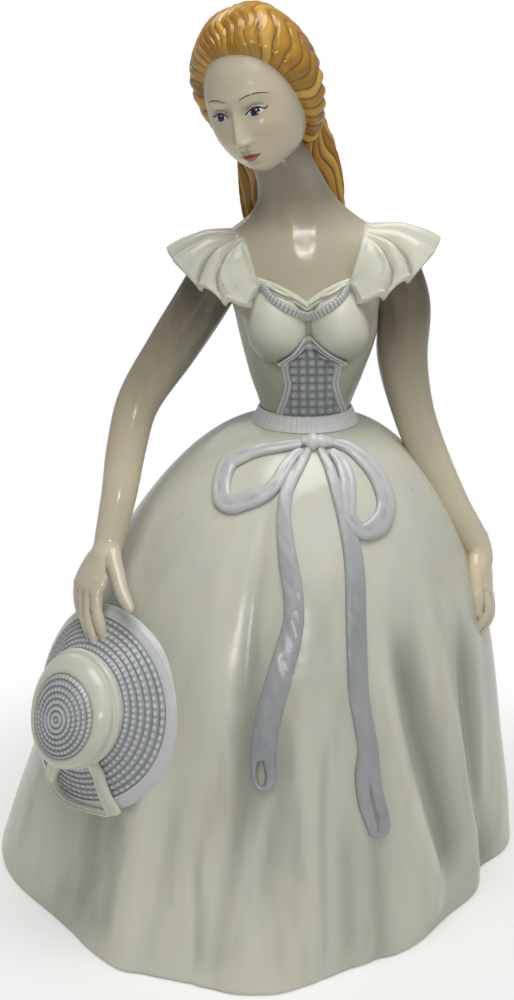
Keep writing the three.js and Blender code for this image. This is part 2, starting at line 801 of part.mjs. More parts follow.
const crownFoot = brimRise + seam;
const crownShoulder = crownFoot + crownHeight - crownDome;
function crownSolid(grow = 0) {
  const rows = 5;
  const outline = [
    [0, crownFoot - grow],
    [crownTopRadius + 1.2 + grow, crownFoot - grow],
  ];
  for (let i = 0; i <= rows; i++) {
    const angle = (i / rows) * (Math.PI / 2);
    outline.push([
      (crownTopRadius + grow) * Math.cos(angle),
      crownShoulder + (crownDome + grow) * Math.sin(angle),
    ]);
  }
  outline.at(-1)[0] = 0;
  return solid(turned(outline));
}

function hatBandSolid(grow = 0) {
  const inner = crownTopRadius + 1.2 + seam - grow;
  const foot = crownFoot - grow;
  const outline = [
    [inner, foot],
    [crownRadius + 0.8 + grow, foot],
    [crownRadius + 1.2 + grow, foot + 1.8],
    [crownRadius + grow, foot + 3],
    [crownRadius - 0.6 + grow, foot + 4.6],
    [crownRadius - 2 + grow, crownShoulder - 0.6 + grow],
    [inner, crownShoulder + grow],
  ];
  outline.push(outline[0]);
  return solid(turned(outline));
}

const brim = cut(brimSolid(), into(hat, skirtCutter));
place("hat_brim", brim, strawGlaze, hat);
place("hat_crown", crownSolid(), strawGlaze, hat);
place("hat_band", hatBandSolid(), creamGlaze, hat);
const brimCutter = outOf(hat, brimSolid(seam));
const crownCutter = outOf(hat, crownSolid(seam));
const hatBandCutter = outOf(hat, hatBandSolid(seam));

// Ribbon ends of the hat's band, lying over the brim at its foot
function onBrim(x, y, lift) {
  const inward = (hatRadius - 1 - Math.hypot(x, y)) / (hatRadius - crownRadius - 2.4);
  const rise = brimThick + (brimRise - brimThick) * THREE.MathUtils.clamp(inward, -0.4, 1);
  return new THREE.Vector3(x, y, rise - (x * x) / (2 * brimBend) + lift);
}

const endRoutes = {
  // place across the hat, up the hat, half width
  hat_ribbon_front: [[12.4, -14.8, 2.2], [13.9, -19.8, 2.3], [15.4, -23.9, 2.6], [16.9, -27.6, 3.1]],
  hat_ribbon_back: [
    [-3.2, -18.2, 2.6], [-6.2, -22.6, 2.4], [-8.2, -26.6, 2.2], [-5.4, -29.4, 1.8],
    [-0.5, -30.6, 1.3], [5.8, -30.2, 1.1], [12, -29.4, 1.1],
  ],
};
const ribbonCutters = [];
for (const [name, route] of Object.entries(endRoutes)) {
  const curve = new THREE.CatmullRomCurve3(route.map(([x, y]) => onBrim(x, y, 0.9)));
  const shape = {
    sides: 8,
    rings: route.length + 3,
    halfWidth: smooth(route.map((point, i) => [i / (route.length - 1), point[2]])),
    halfThick: smooth([[0, 1.5], [1, 1.1]]),
    facing: () => new THREE.Vector3(0, 0, 1),
    square: 0.8,
  };
  const others = [skirtCutter, brimCutter, hatBandCutter, ...ribbonCutters].map((one) => into(hat, one));
  place(name, cut(solid(limb(curve, shape)), ...others), creamGlaze, hat);
  ribbonCutters.push(outOf(hat, solid(limb(curve, shape, seam))));
}

// Arms and hands
// A hand in its own frame: x towards the thumb, y along the fingers, z out of its back.
const fingerRows = [
  // place across the palm, share of the length, share of the radius, curl in degrees
  [0.73, 0.92, 1.05, 10],
  [0.25, 1.03, 1.08, 8],
  [-0.23, 0.97, 1, 10],
  [-0.68, 0.8, 0.92, 14],
];

// Its knuckles may lie aside of the wrist, and its fingers sway back from there.
function handSolid(frame, { curl, knuckles, sway, thumb }, grow) {
  const at = (x, y, z) => new THREE.Vector3(x, y, z).applyMatrix4(frame);
  const back = new THREE.Vector3(0, 0, 1).transformDirection(frame);
  const bone = (points, halfWidth, halfThick) =>
    solid(
      limb(
        new THREE.CatmullRomCurve3(points),
        { sides: 7, rings: 3, halfWidth, halfThick, facing: () => back },
        grow,
      ),
    );
  const taper = (from, to) => smooth([[0, from], [1, to]]);
  const palmEnd = at(knuckles, palmLength - 1.5, 0);
  const palm = bone(
    [at(0, -5, 0), at(knuckles * 0.35, 5, 0.2), palmEnd],
    taper(wristRadius, palmHalfWidth),
    taper(wristRadius * 0.9, palmHalfWidth * 0.48),
  );
  const fingers = fingerRows.map(([across, length, radius, bend]) => {
    const x = knuckles + across * (palmHalfWidth - 1);
    const low = degrees(bend + curl[0]);
    const far = degrees(bend * 1.8 + curl[1]);
    const reach = length * fingerLength;
    const knuckle = [x, palmLength - 2, 0.4];
    const joint = [
      x + sway * 0.35,
      knuckle[1] + reach * 0.54 * Math.cos(low),
      knuckle[2] - reach * 0.54 * Math.sin(low),
    ];
    const tip = [
      x + sway,
      joint[1] + reach * 0.46 * Math.cos(far),
      joint[2] - reach * 0.46 * Math.sin(far),
    ];
    const thick = radius * fingerRadius;
    const width = taper(thick, thick * 0.72);
    return bone([at(...knuckle), at(...joint), at(...tip)], width, width);
  });
  const thumbWidth = taper(fingerRadius * 1.5, fingerRadius * 0.85);
  return join([palm, ...fingers, bone(thumb.map((point) => at(...point)), thumbWidth, thumbWidth)]);
}

function frameOf(origin, along, outward, mirror) {
  const y = along.clone().normalize();
  const z = outward.clone().addScaledVector(y, -outward.dot(y)).normalize();
  const x = new THREE.Vector3().crossVectors(y, z).multiplyScalar(mirror);
  return new THREE.Matrix4().makeBasis(x, y, z).setPosition(origin);
}

// An arm hangs from shoulder to wrist, bowed out sideways and forwards at the given shares.
const armThick = smooth([
  [0, armRadius],
  [0.3, armRadius * 0.96],
  [0.52, elbowRadius * 1.02],
  [0.7, elbowRadius * 0.94],
  [0.88, wristRadius * 1.15],
  [1, wristRadius],
]);

function armSolid({ shoulder, wrist, bow, frame, pose }, grow = 0) {
  const points = [shoulder];
  for (const [share, aside, forward] of bow) {
    const point = shoulder.clone().lerp(wrist, share);
    points.push(point.add(new THREE.Vector3(aside, -forward, 0)));
  }
  points.push(wrist);
  const shape = {
    sides: 12,
    rings: 13,
    halfWidth: armThick,
    halfThick: (t) => armThick(t) * 0.94,
    facing: () => new THREE.Vector3(0, 1, 0.2),
  };
  const arm = solid(limb(new THREE.CatmullRomCurve3(points), shape, grow));
  return arm.add(handSolid(frame, pose, grow));
}

const shoulderZ = waistZ + shoulderHeight - 4.5;
const shoulderX = asideAt(shoulderZ);
hat.updateMatrixWorld();
const rightWrist = hat.localToWorld(new THREE.Vector3(gripAside, hatRadius + gripAbove, 2.5));
const rightHand = {
  shoulder: new THREE.Vector3(shoulderX - shoulderHalfWidth + 3.5, 3, shoulderZ),
  wrist: rightWrist,
  bow: [
    [0.14, -1.6, -2],
    [0.32, -5, -3.6],
    [0.52, -8.6, -5],
    [0.67, -6.6, -3.6],
    [0.83, -3, -1.2],
  ],
  frame: frameOf(
    rightWrist,
    hatUp.clone().multiplyScalar(-1).addScaledVector(hatLevel, 0.26).addScaledVector(hatOut, 0.3),
    hatOut,
    -1,
  ),
  pose: {
    curl: [2, 3.2],
    knuckles: -3.6,
    sway: 2.6,
    thumb: [[2.6, 2, -0.4], [6.6, 8.6, -0.3], [11.4, 15.6, -0.6], [15.2, 19.8, -1.4]],
  },
};
const leftWrist = onSkirt(leftHandAzimuth, skirtHeight * leftHandHeight, 3.4);
const leftTips = onSkirt(leftTipsAzimuth, skirtHeight * leftTipsHeight, 2.2);
const leftHand = {
  shoulder: new THREE.Vector3(shoulderX + shoulderHalfWidth - 1, 3, shoulderZ),
  wrist: leftWrist,
  bow: [
    [0.15, 0.4, -0.6],
    [0.33, -5, -0.8],
    [0.5, -6.9, -0.6],
    [0.66, -6.4, -0.2],
    [0.84, -3.8, 0.3],
  ],
  frame: frameOf(
    leftWrist,
    leftTips.clone().sub(leftWrist),
    skirtNormal(
      (leftHandAzimuth + leftTipsAzimuth) / 2,
      (skirtHeight * (leftHandHeight + leftTipsHeight)) / 2,
    ),
    1,
  ),
  pose: {
    curl: [-14, 20],
    knuckles: 0,
    sway: 0.4,
    thumb: [[3, 0, -0.2], [6, 8, -0.6], [6.8, 20, -1.4]],
  },
};

const rightArm = cut(
  armSolid(rightHand),
  skirtCutter,
  bodiceCutter,
  neckCutter,
  ruffleCutters.right,
  brimCutter,
  hatBandCutter,
  crownCutter,
);
place("right_arm", rightArm, skinGlaze);
const leftArm = cut(
  armSolid(leftHand),
  skirtCutter,
  bodiceCutter,
  neckCutter,
  ruffleCutters.left,
);
place("left_arm", leftArm, skinGlaze);

// Trims on the bodice
function trimCurve(from, to, heightAt, lift) {
  const points = [];
  const count = 15;
  for (let i = 0; i < count; i++) {
    const angle = degrees(from + ((to - from) * i) / (count - 1));
    points.push(clothPoint(angle, heightAt(angle), lift));
  }
  return new THREE.CatmullRomCurve3(points);
}

function trimSolid(curve, halfWidth, halfThick, grow = 0) {
  const axis = new THREE.Vector3(asideAt(waistZ + notchHeight), 0, 0);
  const shape = {
    sides: 6,
    rings: 20,
    halfWidth: () => halfWidth,
    halfThick: () => halfThick,
    facing: (t) => curve.getPoint(t).sub(axis).setZ(0).normalize(),
  };
  return solid(limb(curve, shape, grow));
}
const trimReach = 50; // degrees to each side
const beadDrop = 4.4; // the beads' lowest point below the notch, before it is rounded
const beadRise = 10.4; // from there to their ends
const trimDrop = (angle) => necklineZ(0) - beadDrop + beadRise * Math.hypot(Math.sin(angle) / 0.8, 0.12);
const beadCurve = trimCurve(-trimReach, trimReach, trimDrop, 0.5);
const pipingCurve = trimCurve(-trimReach, trimReach, (angle) => necklineZ(angle) - 0.6, 0.4);
const ruffles = Object.values(ruffleCutters);
const trimThick = 0.9;
const pipingHalfWidth = 1.05;
const beadHalfWidth = 1.3;
const pipingSolid = (grow) => trimSolid(pipingCurve, pipingHalfWidth, trimThick, grow);
const beadSolid = (grow) => trimSolid(beadCurve, beadHalfWidth, trimThick, grow);
place("neckline_piping", cut(pipingSolid(), bodiceCutter, neckCutter, ...ruffles), creamGlaze);
const beads = cut(beadSolid(), bodiceCutter, neckCutter, pipingSolid(seam), ...ruffles);
place("beaded_trim", beads, sashGlaze);
const beadCutter = beadSolid(seam);

// Quilted panel at the front of the bodice, from the band up between the cups
const panelHalfWidth = 8.6; // at its shoulders
const panelNarrow = 8.1; // and above the waist
const panelSpread = 10.6; // and at its foot
const panelFoot = bandHeight + 2 * seam;
const panelTop = notchHeight - 9;
const panelShoulder = panelTop - 9;
const panelThick = 1.4;
function panelSolid() {
  const rows = 10;
  const columns = 6;
  const shoulderDrop = panelTop - panelShoulder;
  const width = smooth([
    [panelFoot, panelSpread],
    [panelShoulder - shoulderDrop * 0.8, panelNarrow],
    [panelShoulder, panelHalfWidth],
    [panelShoulder + shoulderDrop * 0.5, panelHalfWidth * 0.49],
    [panelTop, 0.9],
  ]);
  const aside = smooth([
    [panelFoot, 1.7],
    [panelShoulder, 0.8],
    [panelTop, -0.4],
  ]);
  const rings = [];
  for (let i = 0; i <= rows; i++) {
    const up = panelFoot + ((panelTop - panelFoot) * i) / rows;
    const z = waistZ + up;
    const wide = halfWidthAt(z) + clothThick;
    const deep = halfDepthAt(z) + clothThick;
    const across = (share, lift) => {
      const round = Math.asin((width(up) * share + aside(up)) / wide);
      return clothPoint(Math.atan2(wide * Math.sin(round), deep * Math.cos(round)), z, lift);
    };
    const front = Array.from({ length: columns + 1 }, (_, j) => across((2 * j) / columns - 1, panelThick));
    const back = Array.from({ length: columns + 1 }, (_, j) => across(1 - (2 * j) / columns, -0.4));
    rings.push([...front, ...back]);
  }
  return solid(skin([middleOf(rings[0]), ...rings, middleOf(rings.at(-1))]));
}
place("quilted_panel", cut(panelSolid(), bodiceCutter, bandCutter, beadCutter), strawGlaze);

// Sash: a knot under the band, two loops and two long tails lying on the skirt. A route has
// places on the skirt, each an azimuth, a depth below the skirt's top and the band's half width.
const sashRise = sashThick * 0.35;
function sashSolid(route, { rings, lift = 0 }, grow = 0) {
  const points = route.map(([azimuth, below]) =>
    onSkirt(azimuth, skirtHeight - below, sashRise + lift),
  );
  const normals = route.map(([azimuth, below]) => skirtNormal(azimuth, skirtHeight - below));
  const last = route.length - 1;
  const facing = (t) => {
    const i = Math.min(Math.floor(t * last), last - 1);
    return normals[i].clone().lerp(normals[i + 1], t * last - i).normalize();
  };
  const shape = {
    sides: 8,
    rings,
    halfWidth: smooth(route.map((place, i) => [i / last, place[2]])),
    halfThick: () => sashThick * 0.75,
    facing,
    square: 0.7,
  };
  return solid(limb(new THREE.CatmullRomCurve3(points), shape, grow));
}

const knotAzimuth = 8.5;
const knotSpread = 8.5;
const knotDrop = 1.9;
function knotSolid(grow = 0) {
  const out = skirtNormal(knotAzimuth, skirtHeight - knotDrop);
  const curve = new THREE.CatmullRomCurve3([
    onSkirt(knotAzimuth - knotSpread, skirtHeight - knotDrop, 1.2),
    onSkirt(knotAzimuth, skirtHeight - knotDrop, 1.6),
    onSkirt(knotAzimuth + knotSpread, skirtHeight - knotDrop, 1.2),
  ]);
  const shape = {
    sides: 12,
    rings: 6,
    halfWidth: smooth([[0, 1.6], [0.5, 2.4], [1, 1.6]]),
    halfThick: smooth([[0, 1.6], [0.5, 2.3], [1, 1.6]]),
    facing: () => out,
  };
  return solid(limb(curve, shape, grow));
}
place("bow_knot", cut(knotSolid(), skirtCutter, bandCutter), sashGlaze);
const knotCutter = knotSolid(seam);

const loopRoutes = {
  bow_loop_right: [
    [-4, 1.8, 1.8], [-13.5, 2.3, 2.1], [-24, 3, 2.3], [-33.5, 4.2, 2.4], [-40.5, 5.8, 3],
    [-44.5, 7.6, 3.4], [-43.5, 10, 3.2], [-40, 13, 3], [-36, 15.8, 3.1], [-30.5, 16.6, 3.2],
    [-24.5, 15.2, 3], [-19, 13.5, 2.9], [-15, 11.8, 2.4], [-12.5, 9.4, 2.1], [-10.5, 6.9, 2],
    [-7, 4.3, 1.9], [-2, 2.9, 1.7],
  ],
  bow_loop_left: [
    [20, 1.7, 1.8], [28, 2.5, 2.2], [34, 3.9, 2.8], [38, 6.7, 3.1], [40, 10.1, 3.2],
    [40, 13.2, 3.2], [39, 16.6, 3.2], [36, 19.7, 3.2], [32, 21.9, 3.4], [27.5, 23, 3],
    [23.5, 22.8, 2.6], [21, 21, 2.3], [19.6, 18.6, 2.2], [19.8, 16.2, 2.3], [20.8, 13.6, 2.5],
    [22, 10.8, 2.6], [22.4, 8, 2.4], [21, 5.6, 2], [17.5, 3.4, 1.5],
  ],
};
const loopCutters = [];
for (const [name, route] of Object.entries(loopRoutes)) {
  const turn = Math.ceil(route.length / 2);
  const loopSolid = (grow) => {
    const out = sashSolid(route.slice(0, turn + 1), { rings: 10, lift: sashOverlap }, grow);
    const home = sashSolid(route.slice(turn - 1), { rings: 11, lift: sashOverlap }, grow);
    return out.add(home);
  };
  place(name, cut(loopSolid(), skirtCutter, bandCutter, knotCutter, ...loopCutters), sashGlaze);
  loopCutters.push(loopSolid(seam));
}

const tailRoutes = {
  sash_tail_right: [
    [2.5, 2.8, 1.2], [-3, 6.7, 1.6], [-6, 9.5, 1.9], [-7.6, 12.9, 2], [-7, 18.5, 2.2],
    [-4.6, 25.6, 2.6], [-2.5, 31.8, 2.9], [-0.8, 37.4, 2.9], [0, 43.9, 3], [-0.6, 50, 3.4],
    [-2, 57.3, 3.6], [-3.5, 66, 3.7], [-4.5, 75.3, 3.6], [-4.3, 83, 3.7], [-3.5, 88.5, 3.4],
  ],
  sash_tail_left: [
    [10.5, 2.8, 1.3], [14, 7, 1.5], [15.6, 11.4, 1.8], [17, 16.6, 2], [18.2, 21.5, 2.4],
    [19.2, 27, 2.9], [19.2, 35, 3.1], [18.6, 44.9, 3.2], [18.5, 56, 3.2], [18.8, 66, 3.2],
    [20.4, 76, 3.1], [21.6, 83.3, 3.3], [21.8, 91.4, 4.1], [23, 99.5, 4.3], [24.8, 106, 4],
    [26, 110.5, 3],
  ],
};
const tailCutters = [];
for (const [name, route] of Object.entries(tailRoutes)) {
  const tail = sashSolid(route, { rings: 22 });
  place(name, cut(tail, skirtCutter, bandCutter, knotCutter, ...loopCutters, ...tailCutters), sashGlaze);
  tailCutters.push(sashSolid(route, { rings: 22 }, seam));
}

// The middle of her foot is the origin
const middle = new THREE.Box3().setFromObject(root).getCenter(new THREE.Vector3()).setZ(0);
for (const child of root.children) child.position.sub(middle);

export default root;
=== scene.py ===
# A glazed porcelain lady figurine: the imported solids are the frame, and each piece below is
# worked out on a fine grid and glazed. Lengths are in millimetres until a mesh is made.
import math

import bpy
import numpy as np
from mathutils import Matrix, Vector


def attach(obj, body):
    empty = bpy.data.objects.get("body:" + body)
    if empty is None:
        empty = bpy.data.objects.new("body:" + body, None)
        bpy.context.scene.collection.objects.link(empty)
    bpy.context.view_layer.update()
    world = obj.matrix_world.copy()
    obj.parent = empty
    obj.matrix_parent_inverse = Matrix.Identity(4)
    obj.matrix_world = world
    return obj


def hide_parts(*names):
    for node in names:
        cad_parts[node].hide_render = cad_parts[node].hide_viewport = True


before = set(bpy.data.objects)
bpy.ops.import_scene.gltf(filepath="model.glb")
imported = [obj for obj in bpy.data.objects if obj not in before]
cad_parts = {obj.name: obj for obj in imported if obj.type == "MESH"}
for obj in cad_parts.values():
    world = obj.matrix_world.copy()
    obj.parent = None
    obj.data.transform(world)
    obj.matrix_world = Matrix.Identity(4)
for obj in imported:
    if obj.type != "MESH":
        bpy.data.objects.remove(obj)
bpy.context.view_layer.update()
pi = math.pi


def clamp(value):
    return np.clip(value, 0, 1)


def eased(share):
    return share * share * (3 - 2 * share)


# A smooth line through (place, value) pairs, cubic between them, with slopes from the neighbours
def lineThrough(pairs):
    place, value = np.array(pairs, float).T
    ends = np.r_[0, 0:len(place), len(place) - 1]
    slope = (value[ends[2:]] - value[ends[:-2]]) / (place[ends[2:]] - place[ends[:-2]])

    def at(where):
        where = np.clip(where, place[0], place[-1])
        i = np.clip(np.searchsorted(place, where, side="right") - 1, 0, len(place) - 2)
        span = place[i + 1] - place[i]
        t = (where - place[i]) / span
        bulge = span * t * (1 - t) * ((1 - t) * slope[i] - t * slope[i + 1])
        return value[i] * (1 - eased(t)) + value[i + 1] * eased(t) + bulge

    return at


# Pairs for values that lie at even places from 0 to 1
def evenly(values):
    return np.stack([np.linspace(0, 1, len(values)), values], -1)


# A centripetal Catmull-Rom curve through points, read at shares from 0 to 1
def curveThrough(points):
    points = np.asarray(points, float)
    ends = np.vstack([2 * points[0] - points[1], points, 2 * points[-1] - points[-2]])
    gaps = np.linalg.norm(np.diff(ends, axis=0), axis=1) ** 0.5

    def at(share):
        place = clamp(share) * (len(points) - 1)
        i = np.minimum(place.astype(int), len(points) - 2)
        w = (place - i)[..., None]
        a, b, c, d = (ends[i + k] for k in range(4))
        g0, g1, g2 = (gaps[i + k][..., None] for k in range(3))
        m1 = g1 * ((b - a) / g0 - (c - a) / (g0 + g1) + (c - b) / g1)
        m2 = g1 * ((c - b) / g1 - (d - b) / (g1 + g2) + (d - c) / g2)
        return b + w * (m1 + w * (3 * (c - b) - 2 * m1 - m2 + w * (2 * (b - c) + m1 + m2)))

    return at


def unit(vector):
    return vector / np.maximum(np.linalg.norm(vector, axis=-1, keepdims=True), 1e-9)


def bell(where, middle, spread):
    return np.exp(-(((where - middle) / spread) ** 2))


# The bell of an angle in degrees, measured the short way round
def bellRound(azimuth, middle, spread):
    return bell((azimuth - middle + 180) % 360 - 180, 0, spread)


# The height of a half circle at a share of its half width
def halfCircle(share):
    return np.sqrt(clamp(1 - share ** 2))


def signedPower(value, power):
    return np.sign(value) * np.abs(value) ** power


def pointsAt(x, y, z):
    return np.stack(np.broadcast_arrays(x, y, z), -1)


# Angles once round, lying across a grid
def onceRound(count, start=0.0):
    return np.linspace(start, start + 2 * pi, count, endpoint=False)[None, :]


# Moves the points of rings away from the middles of their rings
def pushedOut(rings, push):
    return rings + unit(rings - rings.mean(1, keepdims=True)) * push[..., None]


# Places spread so that they lie closer together where the weight is larger
def denser(low, high, count, weight):
    fine = np.linspace(low, high, 4000)
    total = np.cumsum(weight(fine))
    total = (total - total[0]) / (total[-1] - total[0])
    return np.interp(np.linspace(0, 1, count), total, fine)


# A rounded ridge that repeats once for each whole turn of the phase, with a narrow groove between
def ridges(phase, sharpness):
    return np.abs(np.sin(pi * phase)) ** sharpness


# A smooth wander between -1 and 1 from a few crossed waves
def wanderAt(a, b, c):
    return (
        np.sin(a * 1.7 + 2.3 * np.sin(b * 1.1 + 1) + 1)
        + np.sin(b * 2.1 + 1.9 * np.sin(c * 1.3 + 2) + 1.3)
        + np.sin(c * 1.9 + 2.1 * np.sin(a * 0.9 + 3) + 0.7)
    ) / 3


# The skirt: from the waist's half sizes to the hem's by its fullness at each height, drawn in at
# the flutes, which die out upwards
skirtForm = {
    "height": 155, "wall": 4.5, "hemHalfWidth": 90.3, "hemHalfDepth": 85.3,
    "topHalfWidth": 16.4, "topHalfDepth": 13.2, "topAside": 14.8, "fluteFade": 1.6,
    "hemRound": 1.5, "unevenness": 0.35, "drainHalfWidth": 8.4, "drainHalfDepth": 6, "drainDepth": 4,
    "paintedShadingTop": 140, "streakTop": 132,
    "fullness": [
        (0, 1), (0.13, 0.936), (0.26, 0.867), (0.42, 0.784), (0.58, 0.684), (0.725, 0.553),
        (0.83, 0.427), (0.905, 0.308), (0.957, 0.195), (0.99, 0.085), (1, 0),
    ],
    # azimuth of the valley, its depth at the hem, its spread in degrees
    "flutes": [
        (-52.5, 7.5, 20), (-17, 3.4, 9), (21.5, 6.9, 14), (52, 10.6, 20), (75, 6.5, 9),
        (112, 3, 9), (143, 4.5, 10), (176, 4, 9), (-151, 4.5, 9), (-118, 4, 9),
    ],
    # folds drawn in one by one: the azimuth at each height, how far it stands out, its spread
    "folds": [
        ([(9, -9), (45, -8), (83, -9.5), (102, -11), (131, -13.5)], -1.6, 3.2),
        ([(9, -13.5), (37, -16)], -1.1, 1.3), ([(11, 13.5), (40, 11.5), (68, 10.5)], -0.9, 1.1),
        ([(11, 19.5), (42, 17)], -1.0, 2.4), ([(18, 46), (41, 37.5), (69, 30.5), (91, 26.5)], 2.0, 2.8),
        ([(26, 50), (66, 38.5), (95, 33)], -2.6, 4.4),
        ([(26, 61.5), (59, 53.5), (86, 45.5), (107, 45)], 1.2, 4.0),
        ([(7, 75.5), (35, 64.5), (90, 59)], -2.4, 4.6), ([(73, -14), (101, -20.5), (122, -25)], 0.9, 4.0),
        ([(11, -45), (29, -42)], -1.4, 4.0), ([(8, -29), (60, -31)], 1.1, 3.0),
        ([(8, -24), (52, -23)], -1.0, 2.2), ([(6, 4), (58, 3)], 0.8, 3.4), ([(5, 28), (38, 25)], -1.0, 2.2),
    ],
}
waistZ = skirtForm["height"]
fullnessAt = lineThrough(skirtForm["fullness"])


# How far the drawn-in folds stand out: a soft ridge or valley along each line, fading at its ends
def foldAt(azimuth, height):
    out = 0.0
    for line, depth, spread in skirtForm["folds"]:
        low, high = line[0][0], line[-1][0]
        ends = clamp((height - low + 16) / 18) * clamp((high + 16 - height) / 26)
        out = out + depth * eased(ends) * bellRound(azimuth, lineThrough(line)(height), spread)
    return out


# How far the flutes draw the skirt in at the hem's scale: a bell round each valley
def fluteAt(azimuth, up):
    valley = sum(depth * bellRound(azimuth, at, spread) for at, depth, spread in skirtForm["flutes"])
    return valley * (1 - up) ** skirtForm["fluteFade"]


# The share of the skirt's height, its half width, its half depth and its place sideways
def skirtSizes(height, inset=0.0):
    form = skirtForm
    up = clamp(height / form["height"])
    full = fullnessAt(up)
    wide = form["topHalfWidth"] + (form["hemHalfWidth"] - form["topHalfWidth"]) * full - inset
    deep = form["topHalfDepth"] + (form["hemHalfDepth"] - form["topHalfDepth"]) * full - inset
    return up, wide, deep, form["topAside"] * up ** 0.95


def skirtPoints(azimuth, height, inset=0.0, folded=False):
    up, wide, deep, aside = skirtSizes(height, inset)
    drawn = 1 - fluteAt(azimuth, up) / skirtForm["hemHalfDepth"]
    angle = np.radians(azimuth)
    fold = foldAt(azimuth, height) if folded else 0.0
    return pointsAt(
        aside + (wide * drawn + fold) * np.sin(angle), -(deep * drawn + fold) * np.cos(angle), height
    )


def skirtNormals(azimuth, height):
    around = skirtPoints(azimuth + 0.3, height) - skirtPoints(azimuth - 0.3, height)
    up = skirtPoints(azimuth, height + 0.3) - skirtPoints(azimuth, height - 0.3)
    return unit(np.cross(around, up))


def onSkirt(azimuth, height, lift, folded=False):
    azimuth, height, lift = np.broadcast_arrays(*map(np.asarray, (azimuth, height, lift)))
    return skirtPoints(azimuth, height, 0.0, folded) + skirtNormals(azimuth, height) * lift[..., None]


# The azimuth and height of the skirt's surface nearest to points that lie close to it
def skirtPlace(points):
    x, y, height = np.moveaxis(points, -1, 0)
    _, wide, deep, aside = skirtSizes(height)
    return np.degrees(np.arctan2((x - aside) / wide, -y / deep)), height


footRing = skirtPoints(np.arange(0, 360, 0.25), np.zeros(1440))
footCentre = (footRing.min(0) + footRing.max(0)) / 2 * (1, 1, 0)


def inScene(name, data):
    made = bpy.data.objects.new(name, data)
    bpy.context.scene.collection.objects.link(made)
    return made


# The numbers of a grid's points, and the faces of four corners between them
def gridFaces(rows, count, loop=False):
    index = np.arange(rows * count).reshape(rows, count)
    lower, upper = (index, np.roll(index, -1, 0)) if loop else (index[:-1], index[1:])
    quads = np.stack([lower, np.roll(lower, -1, 1), np.roll(upper, -1, 1), upper], -1)
    return index, quads.reshape(-1, 4)


def readAll(parts, key, width, kind=float):
    values = np.empty(len(parts) * width, kind)
    parts.foreach_get(key, values)
    return values.reshape(-1, width)


def setMark(mesh, key, value):
    mesh.attributes.new(key, "FLOAT", "POINT").data.foreach_set("value", value.astype(np.float32))


# Marks how far each point stands out of, or lies below, its smoothed surroundings, in millimetres
def markRelief(mesh, rounds):
    co = readAll(mesh.vertices, "co", 3) * 1000
    a, b = readAll(mesh.edges, "vertices", 2, np.int32).T
    share = np.bincount(a, minlength=len(co)) + np.bincount(b, minlength=len(co))
    smooth = co.copy()
    for _ in range(rounds):
        gathered = np.stack([
            np.bincount(a, smooth[b, k], len(co)) + np.bincount(b, smooth[a, k], len(co))
            for k in range(3)
        ], -1)
        smooth = gathered / np.maximum(share, 1)[:, None]
    setMark(mesh, "relief", ((co - smooth) * readAll(mesh.vertices, "normal", 3)).sum(1))


# Puts a piece in the place of a solid. Its relief is marked where its glaze reads it.
def stands(piece, node, rounds=0):
    if rounds:
        markRelief(piece.data, rounds)
    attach(piece, "root")
    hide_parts(node)


# Makes a piece from rings of points, shaped (rings, points round, 3). The two end rings are closed
# by a middle point, or the last ring joins the first. Marks are values kept at each point.
def pieceFrom(name, node, slot, rings, marks, rounds=0, loop=False, uv=None, material=None):
    rows, count = rings.shape[:2]
    points = rings.reshape(-1, 3)
    index, quads = gridFaces(rows, count, loop)
    triangles = np.zeros((0, 3), int)
    marks = {key: np.broadcast_to(value, (rows, count)).reshape(-1) for key, value in marks.items()}
    if not loop:
        points = np.vstack([points, rings[0].mean(0), rings[-1].mean(0)])
        low, high = rows * count, rows * count + 1
        marks = {key: np.r_[value, value[0], value[-1]] for key, value in marks.items()}
        first, last = index[0], index[-1]
        triangles = np.vstack([
            np.stack([np.roll(first, -1), first, np.full(count, low)], -1),
            np.stack([last, np.roll(last, -1), np.full(count, high)], -1),
        ])
    volume = sum(
        np.einsum("ij,ij->i", points[f[:, 0]], np.cross(points[f[:, 1]], points[f[:, 2]])).sum()
        for f in (quads[:, :3], quads[:, [0, 2, 3]], triangles)
    )
    if volume < 0:
        quads, triangles = quads[:, ::-1], triangles[:, ::-1]
    mesh = bpy.data.meshes.new(name)
    mesh.vertices.add(len(points))
    mesh.vertices.foreach_set("co", ((points - footCentre) / 1000).astype(np.float32).ravel())
    corners = np.r_[quads.ravel(), triangles.ravel()]
    mesh.loops.add(len(corners))
    mesh.loops.foreach_set("vertex_index", corners.astype(np.int32))
    starts = np.r_[np.arange(len(quads)) * 4, len(quads) * 4 + np.arange(len(triangles)) * 3]
    mesh.polygons.add(len(starts))
    mesh.polygons.foreach_set("loop_start", starts.astype(np.int32))
    if uv is not None:
        layer = mesh.uv_layers.new(name="flat")
        flat = np.vstack([uv.reshape(-1, 2), uv[0].mean(0), uv[-1].mean(0)])
        layer.data.foreach_set("uv", flat[corners].astype(np.float32).ravel())
    for key, value in marks.items():
        setMark(mesh, key, value)
    mesh.update(calc_edges=True)
    mesh.validate()
    mesh.shade_smooth()
    mesh.materials.append(material or glazes[slot])
    stands(inScene(name, mesh), node, rounds)


# Shader maths: a wire holds a socket, and expressions on wires add Math nodes
class Wire:
    def __init__(self, glaze, socket):
        self.glaze, self.socket = glaze, socket

    def __add__(self, other):
        return self.glaze.math("ADD", self, other)

    def __sub__(self, other):
        return self.glaze.math("SUBTRACT", self, other)

    def __rsub__(self, other):
        return self.glaze.math("SUBTRACT", other, self)

    def __mul__(self, other):
        return self.glaze.math("MULTIPLY", self, other)

    def __truediv__(self, other):
        return self.glaze.math("DIVIDE", self, other)

    def __pow__(self, other):
        return self.glaze.math("POWER", self, other)

    def __abs__(self):
        return self.glaze.math("ABSOLUTE", self)

    __radd__, __rmul__ = __add__, __mul__


